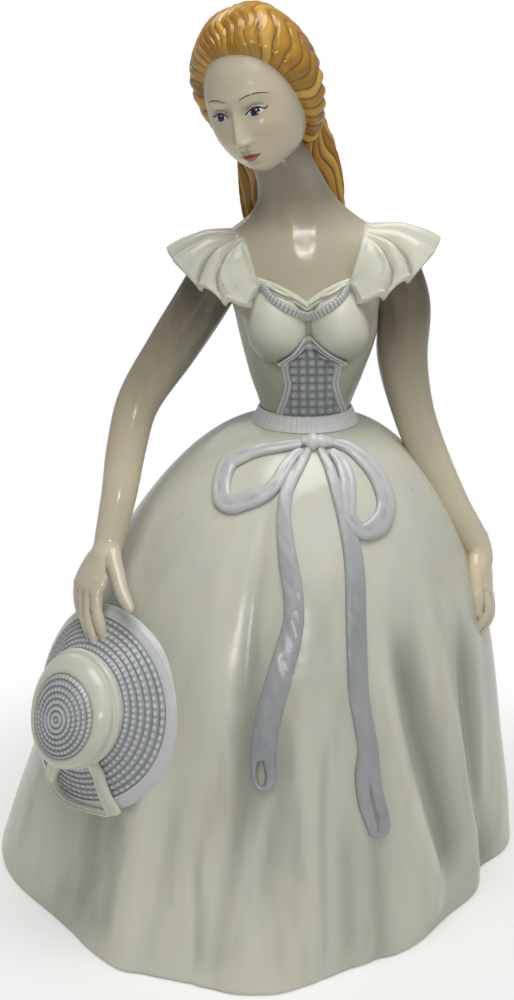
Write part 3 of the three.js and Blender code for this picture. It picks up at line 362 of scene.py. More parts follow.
class Glaze:
    def __init__(self, name, look=None, material=None):
        self.look = look
        self.material = material or bpy.data.materials.new(name)
        self.material.use_nodes = True
        self.tree = self.material.node_tree
        self.tree.nodes.clear()

    def node(self, kind, inputs=None, out=0, **settings):
        made = self.tree.nodes.new(kind)
        for key, value in settings.items():
            setattr(made, key, value)
        for key, value in (inputs or {}).items():
            if isinstance(value, Wire):
                self.tree.links.new(value.socket, made.inputs[key])
            else:
                made.inputs[key].default_value = value
        return Wire(self, made.outputs[out]) if made.outputs else made

    def math(self, operation, *values):
        return self.node("ShaderNodeMath", dict(enumerate(values)), operation=operation)

    def mark(self, name):
        return self.node("ShaderNodeAttribute", out="Fac", attribute_name=name)

    # Goes from 0 to 1, smoothly, as a value passes from one number to another
    def step(self, value, low, high):
        inputs = {0: value, 1: low, 2: high, 3: 0.0, 4: 1.0}
        return self.node("ShaderNodeMapRange", inputs, interpolation_type="SMOOTHSTEP")

    def within(self, value, low, high):
        return 1 - self.step(value, low, high)

    # Lays colours over one another, each by its own amount
    def layered(self, base, *layers):
        for amount, colour in layers:
            inputs = {0: amount, 6: base, 7: colour}
            base = self.node("ShaderNodeMix", inputs, 2, data_type="RGBA", blend_type="MIX")
        return base

    # A layer that darkens what lies below its surroundings: painted shade, and glaze that gathers there
    def hollows(self, low, high, amount):
        return self.step(self.mark("relief") * -1, low, high) * amount, self.look["shade"]

    def noise(self, scale, detail=3.0, rough=0.5, where=None):
        place = where or self.place()
        inputs = {"Vector": place, "Scale": scale, "Detail": detail, "Roughness": rough}
        return self.node("ShaderNodeTexNoise", inputs, "Fac")

    def place(self):
        return self.node("ShaderNodeTexCoord", out="Object")

    # The place with its height shrunk, so that a pattern on it is drawn out downwards
    def brushed(self, shrink):
        inputs = {0: self.place(), 1: (1, 1, shrink)}
        return self.node("ShaderNodeVectorMath", inputs, operation="MULTIPLY")

    # The last nodes: a glossy coat of glaze whose surface ripples a little
    def finish(self, colour, height, roughness):
        bump = {"Height": height, "Strength": 1.0, "Distance": self.look["bump"]}
        surface = {
            "Base Color": colour, "Roughness": self.look["roughness"] + roughness,
            "Specular IOR Level": 0.5, "IOR": 1.5, "Normal": self.node("ShaderNodeBump", bump),
        }
        self.shown(self.node("ShaderNodeBsdfPrincipled", surface))
        return self.material

    def shown(self, shader, kind="Material"):
        self.node(f"ShaderNodeOutput{kind}", {"Surface": shader})


# A colour written as red, green and blue from 0 to 255, as a screen shows it
def tint(red, green, blue):
    shown = np.array([red, green, blue]) / 255
    linear = np.where(shown <= 0.04045, shown / 12.92, ((shown + 0.055) / 1.055) ** 2.4)
    return (*linear.tolist(), 1.0)


# Mottling that every glaze shares: brushed clouds, finer clouds, ripples and pinholes
def mottled(name, look):
    glaze = Glaze(name, look)
    brushed = glaze.brushed(look["drawn"])
    broad = glaze.noise(look["clouds"], 4.0, 0.55, brushed)
    fine = glaze.noise(look["clouds"] * 3.7, 4.0, 0.6, brushed)
    cells = {"Vector": glaze.place(), "Scale": look["pinholes"], "Randomness": 1.0}
    spot = glaze.node("ShaderNodeTexVoronoi", cells, "Distance", feature="F1")
    rare = glaze.step(glaze.noise(look["pinholes"] * 0.37, 1.0), 0.64, 0.72)
    hole = glaze.within(spot, 0.035, 0.07) * rare
    base = glaze.layered(
        look["colour"],
        (glaze.step(broad, 0.36, 0.66), look["cool"]),
        (glaze.step(fine, 0.45, 0.75) * 0.5, look["warm"]),
        (hole * 0.75, look["speck"]),
    )
    broad, fine = glaze.noise(look["ripple"], 2.0, 0.4), glaze.noise(look["ripple"] * 9, 2.0, 0.5)
    height = broad * 0.8 + fine * 0.05 - hole * 0.35
    return glaze, base, height, glaze.noise(look["clouds"] * 2.2, 3.0)


creamLook = {
    "colour": tint(213, 214, 198), "cool": tint(202, 204, 193), "warm": tint(214, 207, 186),
    "speck": tint(96, 84, 66), "shade": tint(122, 118, 104), "washAndShade": tint(142, 144, 132),
    "pale": tint(224, 222, 206), "bare": tint(128, 118, 98),
    "clouds": 34.0, "drawn": 0.22, "pinholes": 260.0, "ripple": 60.0, "bump": 0.0006, "roughness": 0.16,
}
skinLook = {
    "colour": tint(212, 202, 176), "cool": tint(202, 196, 176), "warm": tint(216, 200, 166),
    "speck": tint(110, 90, 62), "shade": tint(98, 84, 58), "shadowTint": tint(58, 48, 28),
    "clouds": 34.0, "drawn": 0.35, "pinholes": 330.0, "ripple": 80.0, "bump": 0.0004, "roughness": 0.11,
}
sashLook = {
    "colour": tint(158, 161, 163), "cool": tint(141, 146, 151), "warm": tint(173, 175, 173),
    "speck": tint(84, 86, 90), "shade": tint(104, 104, 102), "bright": tint(236, 239, 237),
    "clouds": 70.0, "drawn": 0.3, "pinholes": 420.0, "ripple": 170.0, "bump": 0.0003, "roughness": 0.16,
}
strawLook = {
    "colour": tint(164, 168, 169), "cool": tint(152, 158, 161), "warm": tint(174, 176, 173),
    "speck": tint(80, 84, 86), "shade": tint(108, 111, 112), "raised": tint(214, 217, 216),
    "clouds": 70.0, "drawn": 1.0, "pinholes": 420.0, "ripple": 170.0, "bump": 0.0002, "roughness": 0.2,
}
hairLook = {
    "colour": tint(190, 142, 43), "cool": tint(172, 120, 28), "warm": tint(206, 163, 73),
    "speck": tint(90, 56, 22), "shade": tint(88, 50, 5), "light": tint(230, 188, 92),
    "clouds": 60.0, "drawn": 0.6, "pinholes": 380.0, "ripple": 120.0, "bump": 0.0003, "roughness": 0.12,
}


# Painted shade darkens the folds and hollows and painted light makes the ridges paler; a thin grey wash runs
# down the skirt in streaks, and its foot is bare
def creamGlaze():
    glaze, base, height, clouds = mottled("cream_glaze_look", creamLook)
    fold, foot = glaze.mark("fold"), glaze.mark("foot")
    streaks = glaze.noise(52.0, 3.0, 0.5, glaze.brushed(0.1))
    base = glaze.layered(
        base, glaze.hollows(0.04, 0.5, 0.5),
        (glaze.step(streaks, 0.47, 0.72) * glaze.mark("low") * 0.7, creamLook["washAndShade"]),
        (glaze.step(fold * -1, 0.1, 2.6) * 0.55, creamLook["washAndShade"]),
        (glaze.step(fold * -1, 2.0, 5.0) * 0.6, creamLook["shade"]),
        (glaze.step(fold, 0.1, 1.6) * 0.4, creamLook["pale"]),
        (foot, creamLook["bare"]),
    )
    return glaze.finish(base, height, clouds * 0.08 + foot * 0.5 + glaze.mark("dull"))


# Painted shadow makes the skin brown high on the arms and under the chin, and painted shade lies in its
# hollows
def skinGlaze():
    glaze, base, height, clouds = mottled("skin_glaze_look", skinLook)
    streaks = glaze.noise(90.0, 3.0, 0.5, glaze.brushed(0.2))
    paintedShadow = glaze.mark("paintedShadow") * (glaze.step(streaks, 0.3, 0.7) * 0.2 + 0.8)
    base = glaze.layered(base, glaze.hollows(0.02, 0.22, 0.7), (paintedShadow * 0.92, skinLook["shadowTint"]))
    return glaze.finish(base, height, clouds * 0.07 + paintedShadow * 0.1)


def sashGlaze():
    glaze, base, height, clouds = mottled("sash_glaze_look", sashLook)
    # bright makes parts paler; painted shade lies along the marked edges, where bands meet what lies under
    # them, and in hollows
    base = glaze.layered(
        base, (glaze.mark("bright"), sashLook["bright"]), (glaze.mark("edge") * 0.8, sashLook["shade"]),
        glaze.hollows(0.03, 0.26, 0.5),
    )
    return glaze.finish(base, height, clouds * 0.1)


def strawGlaze():
    glaze, base, height, clouds = mottled("straw_glaze_look", strawLook)
    weave = glaze.mark("weave")
    # painted highlight on the raised coils, cells and rims, and painted shade in the grooves between them
    base = glaze.layered(
        base, (glaze.step(weave, 0.6, 1.0) * 0.75, strawLook["raised"]),
        (glaze.within(weave, 0.0, 0.62) * 0.62, strawLook["shade"]),
    )
    return glaze.finish(base, height, clouds * 0.1)


def hairGlaze():
    glaze, base, height, clouds = mottled("hair_glaze_look", hairLook)
    lock = glaze.mark("lock")
    # each strand has a tone of its own; painted shade lies in the grooves between strands
    base = glaze.layered(
        base, (glaze.step(lock, 0.35, 1.0) * 0.6, hairLook["light"]),
        (glaze.within(lock, 0.0, 0.5) * 0.4, hairLook["shade"]),
        (glaze.step(glaze.mark("groove"), 0.12, 0.95) * 0.85, hairLook["shade"]),
    )
    return glaze.finish(base, height, clouds * 0.08)


glazes = {
    "cream_glaze": creamGlaze(), "skin_glaze": skinGlaze(), "sash_glaze": sashGlaze(),
    "straw_glaze": strawGlaze(), "hair_glaze": hairGlaze(),
}
print("glazes mixed")


def makeSkirt():
    form = skirtForm
    top, wall = form["height"], form["wall"]
    azimuth = denser(-180, 180, 561, lambda a: 1 + 1.6 * bell(a, 10, 75))[None, :-1]
    height = 2.2 + (top - 2.2) * (1 - (1 - np.linspace(0, 1, 124)) ** 1.5)
    height = np.r_[0.0, 0.12, 0.4, 0.9, 1.5, height][:, None]
    inset = 1.2 * (1 - halfCircle(1 - np.minimum(height / form["hemRound"], 1)))
    outside = skirtPoints(azimuth, height, inset, True)
    # hand-finished unevenness, a few tenths of a millimetre, none at the foot
    angle = np.radians(azimuth)
    wander = wanderAt(3 * np.sin(angle), 3 * np.cos(angle), height / 22)
    wander = wander * form["unevenness"] * clamp(height / 20) * clamp((top - height) / 20)
    outside += unit(outside * (1, 1, 0.3)) * wander[..., None]
    inner = np.linspace(1, 0, 18)[:, None] ** 0.7 * (top - wall)
    inside = skirtPoints(azimuth, inner * top / (top - wall), wall)
    inside[..., 2] = inner
    drain = pointsAt(
        form["topAside"] + form["drainHalfWidth"] * np.sin(angle), -form["drainHalfDepth"] * np.cos(angle),
        np.array([[top], [top - form["drainDepth"]]], float),
    )
    rings = np.concatenate([outside, drain, inside])
    # painted shade in the valleys of the folds and flutes, and painted light on the folds' ridges
    fold = foldAt(azimuth, height) * 1.3 - 0.3 * fluteAt(azimuth, height / top)
    # painted light and shade: paler at the hem and round the waist, and greyer between, most of all at her
    # right beside the hat
    fold = fold + 0.5 + 0.9 * bell(height, 8, 24) - bell(height, 84, 34) * (0.8 + bell(azimuth, -38, 26))
    # the streaks fade above, at the hem and round the back
    low = clamp((form["streakTop"] - height) / 60) * np.clip(height / 12, 0.3, 1)
    low = low * (0.35 + 0.65 * bell(azimuth, 0, 100))
    unseen = np.zeros((len(drain) + len(inside), azimuth.size))
    marks = {
        "foot": np.concatenate([1 - clamp(height / 0.8), np.zeros((2, 1)), 0.5 + 0.5 * (inner < 3)]),
        "fold": np.concatenate([fold * clamp((form["paintedShadingTop"] - height) / 40), unseen]),
        "low": np.concatenate([low, unseen]),
    }
    pieceFrom("skirt_form", "skirt", "cream_glaze", rings, marks, loop=True)


makeSkirt()
print("skirt made")

# The body: rows of height above the waist, half width, half depth, sideways, backwards
bodyForm = {
    "rows": [
        (0, 13, 10.4, 15.2, 0), (5, 13.2, 10.7, 15.2, 0), (15, 16.6, 12, 15.4, 0),
        (28, 20.3, 13.2, 15.8, 0), (38, 21.9, 13.4, 15, 0.5), (50, 26, 12.4, 14.2, 1.5),
        (55.5, 27, 11.8, 14.1, 2), (59.5, 23, 11.4, 14.1, 2.4), (63, 17, 10.8, 14, 2.4),
        (69.5, 11.6, 10, 12, 1.6), (77, 10, 9.6, 9.2, 0.8), (84, 9.2, 9.2, 6, 1),
        (92, 8, 8.4, 3.4, 2),
    ],
    "cloth": 0.9, "wall": 2.6, "notch": 40, "necklineRise": 7, "shoulderHeight": 55.5, "armHeight": 51,
}
cupForm = {
    "aside": 9.4, "forward": 9.6, "up": 31.5, "halfWidth": 9.4, "reach": 11.6,
    "above": 13, "below": 10, "crease": 1, "flow": 3,
}
halfWidthAt, halfDepthAt, asideAt, backAt = (
    lineThrough([(row[0] + waistZ, row[k]) for row in bodyForm["rows"]]) for k in (1, 2, 3, 4)
)


def cupReach(side, angle, z, grow):
    form = cupForm
    rise = z - waistZ - form["up"]
    up = rise / (np.where(rise > 0, form["above"], form["below"]) + grow)
    share = np.sqrt(np.clip(1 - up * up, 1e-6, 1))
    wide, deep = (form["halfWidth"] + grow) * share, (form["reach"] + grow) * share
    sx, sy = np.sin(angle) / wide, np.cos(angle) / deep
    ox, oy = side * form["aside"] / wide, form["forward"] / deep
    a, b, c = sx * sx + sy * sy, sx * ox + sy * oy, ox * ox + oy * oy - 1
    inner = b * b - a * c
    met = (inner > 0) & (b > 0) & (np.abs(up) < 1)
    return np.where(met, (b + np.sqrt(np.maximum(inner, 0))) / a, 0)


def smoothMost(a, b, soft):
    near = np.maximum(soft - np.abs(a - b), 0) / soft
    return np.maximum(a, b) + near * near * soft / 4


# A point of the body at an angle from her front and a height, an oval with the cups joined to it
def bodyPoints(angle, z, off=0.0, cups=False):
    angle, z = np.broadcast_arrays(np.asarray(angle, float), np.asarray(z, float))
    wide, deep = halfWidthAt(z) + off, halfDepthAt(z) + off
    reach = 1 / np.hypot(np.sin(angle) / wide, np.cos(angle) / deep)
    if cups:
        above = clamp((z - waistZ - cupForm["up"] + 2) / 7)
        soft = cupForm["crease"] + cupForm["flow"] * eased(above)
        for side in (-1, 1):
            reach = smoothMost(reach, cupReach(side, angle, z, off - bodyForm["cloth"]), soft)
    return pointsAt(asideAt(z) + reach * np.sin(angle), backAt(z) - reach * np.cos(angle), z)


def clothPoints(angle, z, lift=0.0):
    return bodyPoints(angle, z, bodyForm["cloth"] + lift, True)


def necklineZ(angle):
    aside = np.minimum(np.abs(np.sin(angle)) / 0.85, 1)
    front = np.where(np.cos(angle) > 0, aside, 1)
    return waistZ + bodyForm["notch"] + bodyForm["necklineRise"] * front ** 0.9


def makeBodice():
    angle, cloth = onceRound(360, -pi), bodyForm["cloth"]
    top, low = necklineZ(angle), waistZ - 0.5
    outside = clothPoints(angle, low + (top - low) * np.linspace(0, 1, 170)[:, None])
    # a rounded rim, then the inside of the wall
    turn = np.linspace(0, pi, 9)[1:, None]
    rimOut = unit(clothPoints(angle, top) - clothPoints(angle, top, -1))
    rim = clothPoints(angle, top, -cloth) + rimOut * (cloth * np.cos(turn))[..., None]
    rim[..., 2] += cloth * np.sin(turn)
    down = np.linspace(0.06, 1, 12)[:, None]
    inside = bodyPoints(angle, top + (low - top) * down, -bodyForm["wall"])
    rings = np.concatenate([outside, rim, inside])
    # painted shade, deeper at the sides and along the foot of each cup
    up, around = rings[..., 2] - waistZ, np.degrees(angle)
    sides = bell(up, 12, 15) * (1 - bell(around, 5, 28))
    feet = bell(up, 23, 7) * (bell(around, 40, 30) + bell(around, -38, 30))
    marks = {"fold": -4.6 * np.maximum(0.8 * sides, feet), "dull": 0.17}
    pieceFrom("bodice_form", "bodice", "cream_glaze", rings, marks, 40, loop=True)


def makeNeck():
    angle = onceRound(240, -pi)
    up = np.linspace(28, 92, 150)[:, None]
    points = bodyPoints(angle, up + waistZ)
    # collar bones, the hollow between them, and the two sinews of the neck
    side = np.abs(np.degrees(angle))
    boneHeight = 56.4 + 2.2 * clamp((side - 12) / 60)
    bones = 0.1 * bell(up, boneHeight, 2.2) * bell(side, 40, 26)
    hollow = 0.72 * bell(up, 54.2, 6.5) * bell(side, 0, 40)
    sinew = 0.35 * bell(side, 16 + (up - 58) * 0.9, 9) * bell(up, 66, 8)
    outwards = unit(points * (1, 1, 0) - np.array([12, 2, 0]))
    points = points + outwards * (bones + hollow + sinew)[..., None]
    # the mean of eleven neighbouring rows, three times over, takes out the joins of the profile
    for _ in range(3):
        points[5:-5] = np.stack([points[k:len(points) - 10 + k] for k in range(11)]).mean(0)
    # painted shadow under the chin, growing up the neck
    marks = {"paintedShadow": 0.66 * clamp((up - 60) / 11) + 0.06}
    pieceFrom("neck_form", "neck_and_shoulders", "skin_glaze", points, marks, 30)


def makeWaistband():
    angle = onceRound(360, -pi)
    # the band's section: lift off the body and height, flaring towards its foot
    section = curveThrough([
        (0.3, -0.5), (3.5, -0.65), (4.0, -0.3), (3.6, 0.45), (2.9, 1.7), (2.3, 3.0), (1.7, 4.2),
        (1.3, 4.55), (0.5, 4.2),
    ])(np.linspace(0, 1, 60))
    lift, up = section.T[..., None]
    wrinkle = 0.11 * np.sin(46 * angle + 3 * np.sin(5 * angle)) * bell(up, 2.2, 2.4) * (lift > 1.6)
    away = unit(bodyPoints(angle, waistZ + 3, 1.0) - bodyPoints(angle, waistZ + 3))
    points = bodyPoints(angle, waistZ + 0.3 + up) + away * (lift + wrinkle)[..., None]
    # painted shade along the band's foot, where it meets the skirt, and along its top edge, where it meets
    # the bodice
    below, above = 0.5 - np.clip((up + 0.5) / 0.6, 0, 0.5), clamp((1.5 - lift) / 0.4) * (up > 4)
    marks = {"edge": np.maximum(below, above), "bright": 0.95}
    pieceFrom("waistband_form", "waistband", "sash_glaze", points, marks, 8, loop=True)


makeBodice()
makeNeck()
makeWaistband()
print("body made")

# The head: an egg narrowed at the jaw
headForm = {
    "halfWidth": 14.6, "halfDepth": 16.6, "halfHeight": 22,
    "place": (-0.2, -2.5, 254.7), "tilt": -12.5, "turn": -24, "nod": 6,
}
# The face: soft bumps by height, place aside and up, spread aside and up, and the nose's two lines
faceForm = {
    "bumps": {
        "wings": [(1.25, 2.0, -9.0, 0.95, 0.95)],
        "nostrils": [(-0.7, 1.0, -10.3, 0.55, 0.45)],
        "sockets": [(-1.7, 5.5, -0.6, 3.5, 2.7), (-0.5, 3.0, 0.2, 1.4, 1.8)],
        "eyeballs": [(1.25, 5.6, -1.35, 2.5, 1.5)],
        "brows": [(0.65, 5.2, 3.3, 4.4, 1.7)],
        "cheeks": [(0.85, 7.3, -7.2, 3.7, 3.8)],
        "upperLip": [(0.85, 0.9, -12.75, 1.7, 0.75), (-0.22, 0, -12.3, 0.42, 0.7)],
        "lowerLip": [(1.15, 0, -14.65, 2.2, 0.95)],
        "mouth": [(-0.45, 3.0, -13.5, 0.8, 0.8), (0.8, 0, -13.4, 3.6, 2.4)],
        "philtrum": [(-0.28, 0, -11.4, 0.55, 0.8), (0.12, 0.9, -11.4, 0.4, 0.8)],
        "chin": [(-0.5, 0, -16.4, 2.6, 0.8), (1.15, 0, -18.6, 3.4, 2.1)],
    },
    "noseReach": [
        (-11.4, 0), (-10.6, 0.5), (-9.9, 2.0), (-9.0, 3.9), (-8.2, 4.3), (-7.2, 3.9), (-5, 2.75),
        (-2, 1.55), (0.8, 0.8), (3.4, 0.25), (6, 0),
    ],
    "noseWidth": [
        (-10.6, 2.1), (-9, 2.25), (-8, 2.05), (-6, 1.75), (-3, 1.45), (0, 1.35), (4, 2.2),
    ],
}


def turned(axis, degrees):
    return np.array(Matrix.Rotation(math.radians(degrees), 3, axis))


headMatrix = turned("Y", headForm["tilt"]) @ turned("Z", headForm["turn"]) @ turned("X", headForm["nod"])


def onHead(points):
    return points @ headMatrix.T + np.array(headForm["place"])


# How far each point of the face stands forward of the plain egg
def features(x, z):
    side = np.abs(x)
    out = lineThrough(faceForm["noseReach"])(z) * bell(x / lineThrough(faceForm["noseWidth"])(z), 0, 1)
    for bumps in faceForm["bumps"].values():
        for height, aside, up, wide, tall in bumps:
            out = out + height * bell(side, aside, wide) * bell(z, up, tall)
    # the lids, the crease above them, and the line of the mouth
    lidArch = -1.35 + 1.2 * np.clip(1 - ((side - 5.6) / 2.7) ** 2, -0.6, 1)
    lowerArch = -1.5 - 0.8 * np.clip(1 - ((side - 5.6) / 2.6) ** 2, -0.5, 1)
    out = out + 0.28 * bell(z, lidArch + 0.35, 0.42) * bell(side, 5.6, 2.9)
    out = out + 0.16 * bell(z, lowerArch, 0.3) * bell(side, 5.6, 2.4)
    out = out - 0.2 * bell(z, lidArch + 1.0, 0.28) * bell(side, 5.6, 2.6)
    return out - 0.62 * bell(z, -13.6 + 0.16 * bell(x, 0, 0.8), 0.26) * bell(x, 0, 2.7)


def headPoints(turn, rise, faced=False):
    form = headForm
    up = np.sin(rise)
    low = np.maximum(-up, 0)
    flat = np.sqrt(clamp(1 - np.abs(up) ** np.where(up < 0, 3, 2)))
    x = np.sin(turn) * flat * form["halfWidth"] * (1 - 0.3 * low ** 2.2)
    front = np.cos(turn) * flat
    back = np.where(front < 0, 1 - 0.45 * low ** 1.2, 1 - 0.08 * low ** 2)
    z = up * form["halfHeight"]
    y = -front * form["halfDepth"] * back
    if faced:
        y = y - features(x, z) * np.sqrt(np.maximum(front, 0))
    return pointsAt(x, y, z)


# The face is painted: each layer is an amount and a colour, on the front of the head only
def faceGlaze():
    glaze, base, height, clouds = mottled("face_glaze_look", skinLook)
    flat = glaze.node("ShaderNodeUVMap", uv_map="flat")
    x = glaze.node("ShaderNodeSeparateXYZ", {0: flat}, 0) * 40 - 20
    z = glaze.node("ShaderNodeSeparateXYZ", {0: flat}, 1) * 50 - 25
    front, side = glaze.mark("front"), abs(x)
    step, within = glaze.step, glaze.within

    def most(a, b):
        return glaze.math("MAXIMUM", a, b)

    def distance(dx, dz):
        return glaze.math("SQRT", dx * dx + dz * dz)

    blush = within(distance(side - 7.4, z + 7.6), 0.5, 4.6)
    # the eyes: white, iris, pupil, a painted highlight for a catch light, lashes, lid crease
    acrossEye = (side - 5.6) / 2.6
    arch = 1 - acrossEye * acrossEye
    line = most(arch, 0.0) * 1.2 - 1.4 + most(acrossEye - 0.85, 0.0) * 1.6
    lower = most(arch, 0.0) * -0.85 - 1.4
    eye = step(line - z, -0.04, 0.08) * step(z - lower, -0.04, 0.08) * step(arch, 0.0, 0.06)
    fromIris = distance(side - 5.5, (z + 1.15) * 0.96)
    fromPaintedHighlight = glaze.math("MINIMUM", distance(x - 5.85, z + 0.75), distance(x + 5.15, z + 0.75))
    lash = within(abs(z - line - 0.1), 0.18, 0.32) * within(abs(acrossEye - 0.06), 1.12, 1.24)
    under = within(abs(z - lower), 0.03, 0.1) * step(arch, 0.0, 0.2)
    fold = within(abs(z - line - 0.85), 0.04, 0.14) * step(arch, 0.05, 0.35)
    # the brows: thin arcs that taper outwards
    acrossBrow = (side - 5.9) / 4.0
    bow = 1 - acrossBrow * acrossBrow
    brow = within(abs(z - bow * 1.15 - 2.7) / (bow * 0.1 + 0.09), 0.7, 1.4) * step(bow, 0.0, 0.2)
    # the lips, the line between them, and the nostrils
    acrossLips = side / 3.0
    full = most(1 - acrossLips * acrossLips, 0.0)
    top = (full ** 0.7) * 1.15 - 13.55 - within(side, 0.0, 0.75) * 0.36
    bottom = (full ** 0.8) * -1.75 - 13.55
    lips = step(top - z, -0.03, 0.14) * step(z - bottom, -0.03, 0.16) * step(full, 0.0, 0.08)
    parting = within(abs(z + 13.6), 0.05, 0.17) * step(full, 0.02, 0.2)
    nostril = within(distance((side - 1.02) / 0.6, (z + 10.25) / 0.34), 0.6, 1.1)
    inks = [
        (blush * 0.22, tint(214, 148, 124)), (eye, tint(222, 222, 216)),
        (eye * within(fromIris, 1.22, 1.36), tint(18, 22, 48)),
        (eye * within(fromIris, 0.85, 1.08) * 0.8, tint(34, 46, 96)),
        (eye * within(fromIris, 0.5, 0.62), tint(10, 11, 20)),
        (eye * within(fromPaintedHighlight, 0.16, 0.26), tint(240, 242, 246)),
        (lash, tint(16, 16, 26)), (under * 0.55, tint(60, 50, 56)), (fold * 0.4, tint(128, 96, 72)),
        (brow * 0.9, tint(52, 36, 26)), (lips * 0.9, tint(176, 88, 82)),
        (parting * 0.8, tint(104, 40, 40)), (nostril * 0.55, tint(120, 78, 58)),
    ]
    inks = [(amount * front, colour) for amount, colour in inks]
    # painted shade in the face's hollows goes over the inks
    base = glaze.layered(base, *inks, glaze.hollows(0.01, 0.12, 0.4))
    return glaze.finish(base, height, clouds * 0.07)


def makeHead():
    turn = denser(-pi, pi, 361, lambda a: 1 + 4.5 * bell(a, 0, 0.75))[None, :-1]
    rise = denser(-pi / 2 + 0.01, pi / 2 - 0.01, 214, lambda a: 1 + 3.5 * bell(a, -0.42, 0.42))[:, None]
    points = headPoints(turn, rise, faced=True)
    uv = np.stack([points[..., 0] / 40 + 0.5, points[..., 2] / 50 + 0.5], -1)
    marks = {"front": clamp((-points[..., 1] - 3) / 2)}
    pieceFrom("head_form", "head", "skin_glaze", onHead(points), marks, 8, uv=uv, material=faceGlaze())


makeHead()
print("head made")

hairForm = {"thick": 2.9, "strands": 38, "groove": 0.85, "fine": 0.16}


# A point of the hair: over the head, at an angle from the way she looks and a turn from upright
def hairPoints(polar, around, off):
    x, z = np.sin(around) * np.sin(polar), np.cos(around) * np.sin(polar)
    bare = headPoints(np.arctan2(x, np.cos(polar)), np.arcsin(np.clip(z, -1, 1)))
    return bare + unit(bare) * off[..., None]


# The marks of hair. A strand is a plump ridge for each whole turn of the phase, with a tone of its
# own from the sine of its number, which fades to even at its edges.
def strandsAt(phase):
    strand = (0.5 - 0.5 * np.cos(2 * pi * phase)) ** 0.55
    number = np.floor(phase)
    own = 0.5 + 0.5 * np.sin(number * 2.4 + 1.7 * np.sin(number * 1.3))
    return strand, {"groove": (1 - strand) ** 1.4, "lock": 0.5 + (own - 0.5) * strand}


def makeHair():
    form = hairForm
    around = onceRound(480)
    share = np.r_[1.02, 1 - np.linspace(0, 0.985, 190) ** 1.25][:, None]
    down = (1 - np.cos(around)) / 2
    polar = pi - (pi - np.radians(44 + 62 * down + 12 * down ** 4)) * share
    # strands run back from the hairline in S waves; each is a rounded ridge between grooves
    over = np.cos(around / 2) ** 2
    wave = 1.0 * np.sin(9 * share + 1.6 * np.sin(around + 0.6))
    wave = wave + 0.3 * np.sin(26 * share + 2.4 * np.sin(2 * around))
    wander = 0.5 * np.sin(3 * around + 1.1) + 0.12 * np.sin(15 * share + 3 * around)
    phase = form["strands"] * around / (2 * pi) + wave * over + wander
    depth = form["groove"] * clamp(share / 0.35) ** 0.7
    depth = depth * (0.85 + 0.25 * np.sin(5 * around + 9 * share))
    strand, marks = strandsAt(phase)
    fine = ridges(phase * 3 + 0.7 * np.sin(11 * share + 5 * around), 0.7)
    swell = np.sqrt(clamp(1 - clamp(share) ** 9))
    lock = 0.45 * np.sin(7 * around + 2 * np.sin(6 * share))
    roll = 1.5 * np.sin(around) ** 2 * bell(share, 0.8, 0.2)
    puff = 1.6 * bell(around, 0.8, 0.6) * bell(share, 0.7, 0.3)
    off = 0.9 + (form["thick"] + roll + puff + 0.5 * lock + depth * (strand - 0.7)) * swell
    off = off + form["fine"] * (fine - 0.7) * swell - np.where(share > 1, 1.6, 0)
    marks["groove"] = marks["groove"] * clamp(share / 0.2) * (1 - 0.35 * over)
    pieceFrom("hair_form", "hair_cap", "hair_glaze", onHead(hairPoints(polar, around, off)), marks)


makeHair()


# A tube along a smooth curve through points, with rounded ends. Two lines of pairs give its half
# width and half thickness at shares of its length, and its flat side looks the way of facing.
def tube(points, rows, sides, wideLine, thickLine, facing, square=1.0):
    t = np.linspace(0, 1, rows)
    middle = curveThrough(points)(t)
    tangent = unit(np.gradient(middle, axis=0))
    side = unit(np.cross(tangent, facing(middle) if callable(facing) else facing))
    out = np.cross(side, tangent)
    wide, thick = lineThrough(wideLine)(t), lineThrough(thickLine)(t)
    cap = np.linspace(0, pi / 2, 9)[1:-1]
    grown = np.r_[np.sin(cap), np.ones(rows), np.sin(cap[::-1])]
    pick = np.r_[np.zeros(len(cap), int), np.arange(rows), np.full(len(cap), rows - 1)]
    along = np.r_[-np.cos(cap) * thick[0], np.zeros(rows), np.cos(cap[::-1]) * thick[-1]]
    angle = onceRound(sides)
    cos, sin = signedPower(np.cos(angle), square), signedPower(np.sin(angle), square)
    centre = middle[pick] + tangent[pick] * along[:, None]
    across = side[pick][:, None] * ((wide[pick] * grown)[:, None] * cos)[..., None]
    rise = out[pick][:, None] * ((thick[pick] * grown)[:, None] * sin)[..., None]
    return centre[:, None] + across + rise, t[pick][:, None], angle


# The long hair behind: its route by share of the length, sideways and backwards
fallForm = {
    "route": [(0, -9.8, 2), (0.26, -6.2, 5), (0.5, -3.8, 5.6), (0.74, -1.8, 6.4), (1, -0.5, 6.6)],
    "wide": [(0, 12), (0.3, 15.5), (0.6, 15.5), (0.85, 11), (1, 5)],
    "thick": [(0, 6), (0.4, 6.8), (0.8, 4.8), (1, 2.6)],
    "aside": 14.8, "back": 10, "top": 251, "length": 58,
}


def makeFall():
    form = fallForm
    points = [
        (form["aside"] + aside, form["back"] + back, form["top"] - form["length"] * share)
        for share, aside, back in form["route"]
    ]
    rings, t, angle = tube(points, 190, 270, form["wide"], form["thick"], (0, 1, 0))
    phase = 26 * angle / (2 * pi) + 0.9 * np.sin(9 * t + 2 * np.sin(angle))
    phase = phase + 0.5 * np.sin(17 * t + 3 * angle)
    strand, marks = strandsAt(phase)
    fine = ridges(3 * phase + np.sin(20 * t), 0.7)
    push = 0.9 * (strand - 0.8) + 0.16 * (fine - 0.8) + 0.3 * np.sin(5 * angle + 6 * t)
    pieceFrom("fall_form", "back_hair", "hair_glaze", pushedOut(rings, push), marks)


makeFall()
print("hair made")

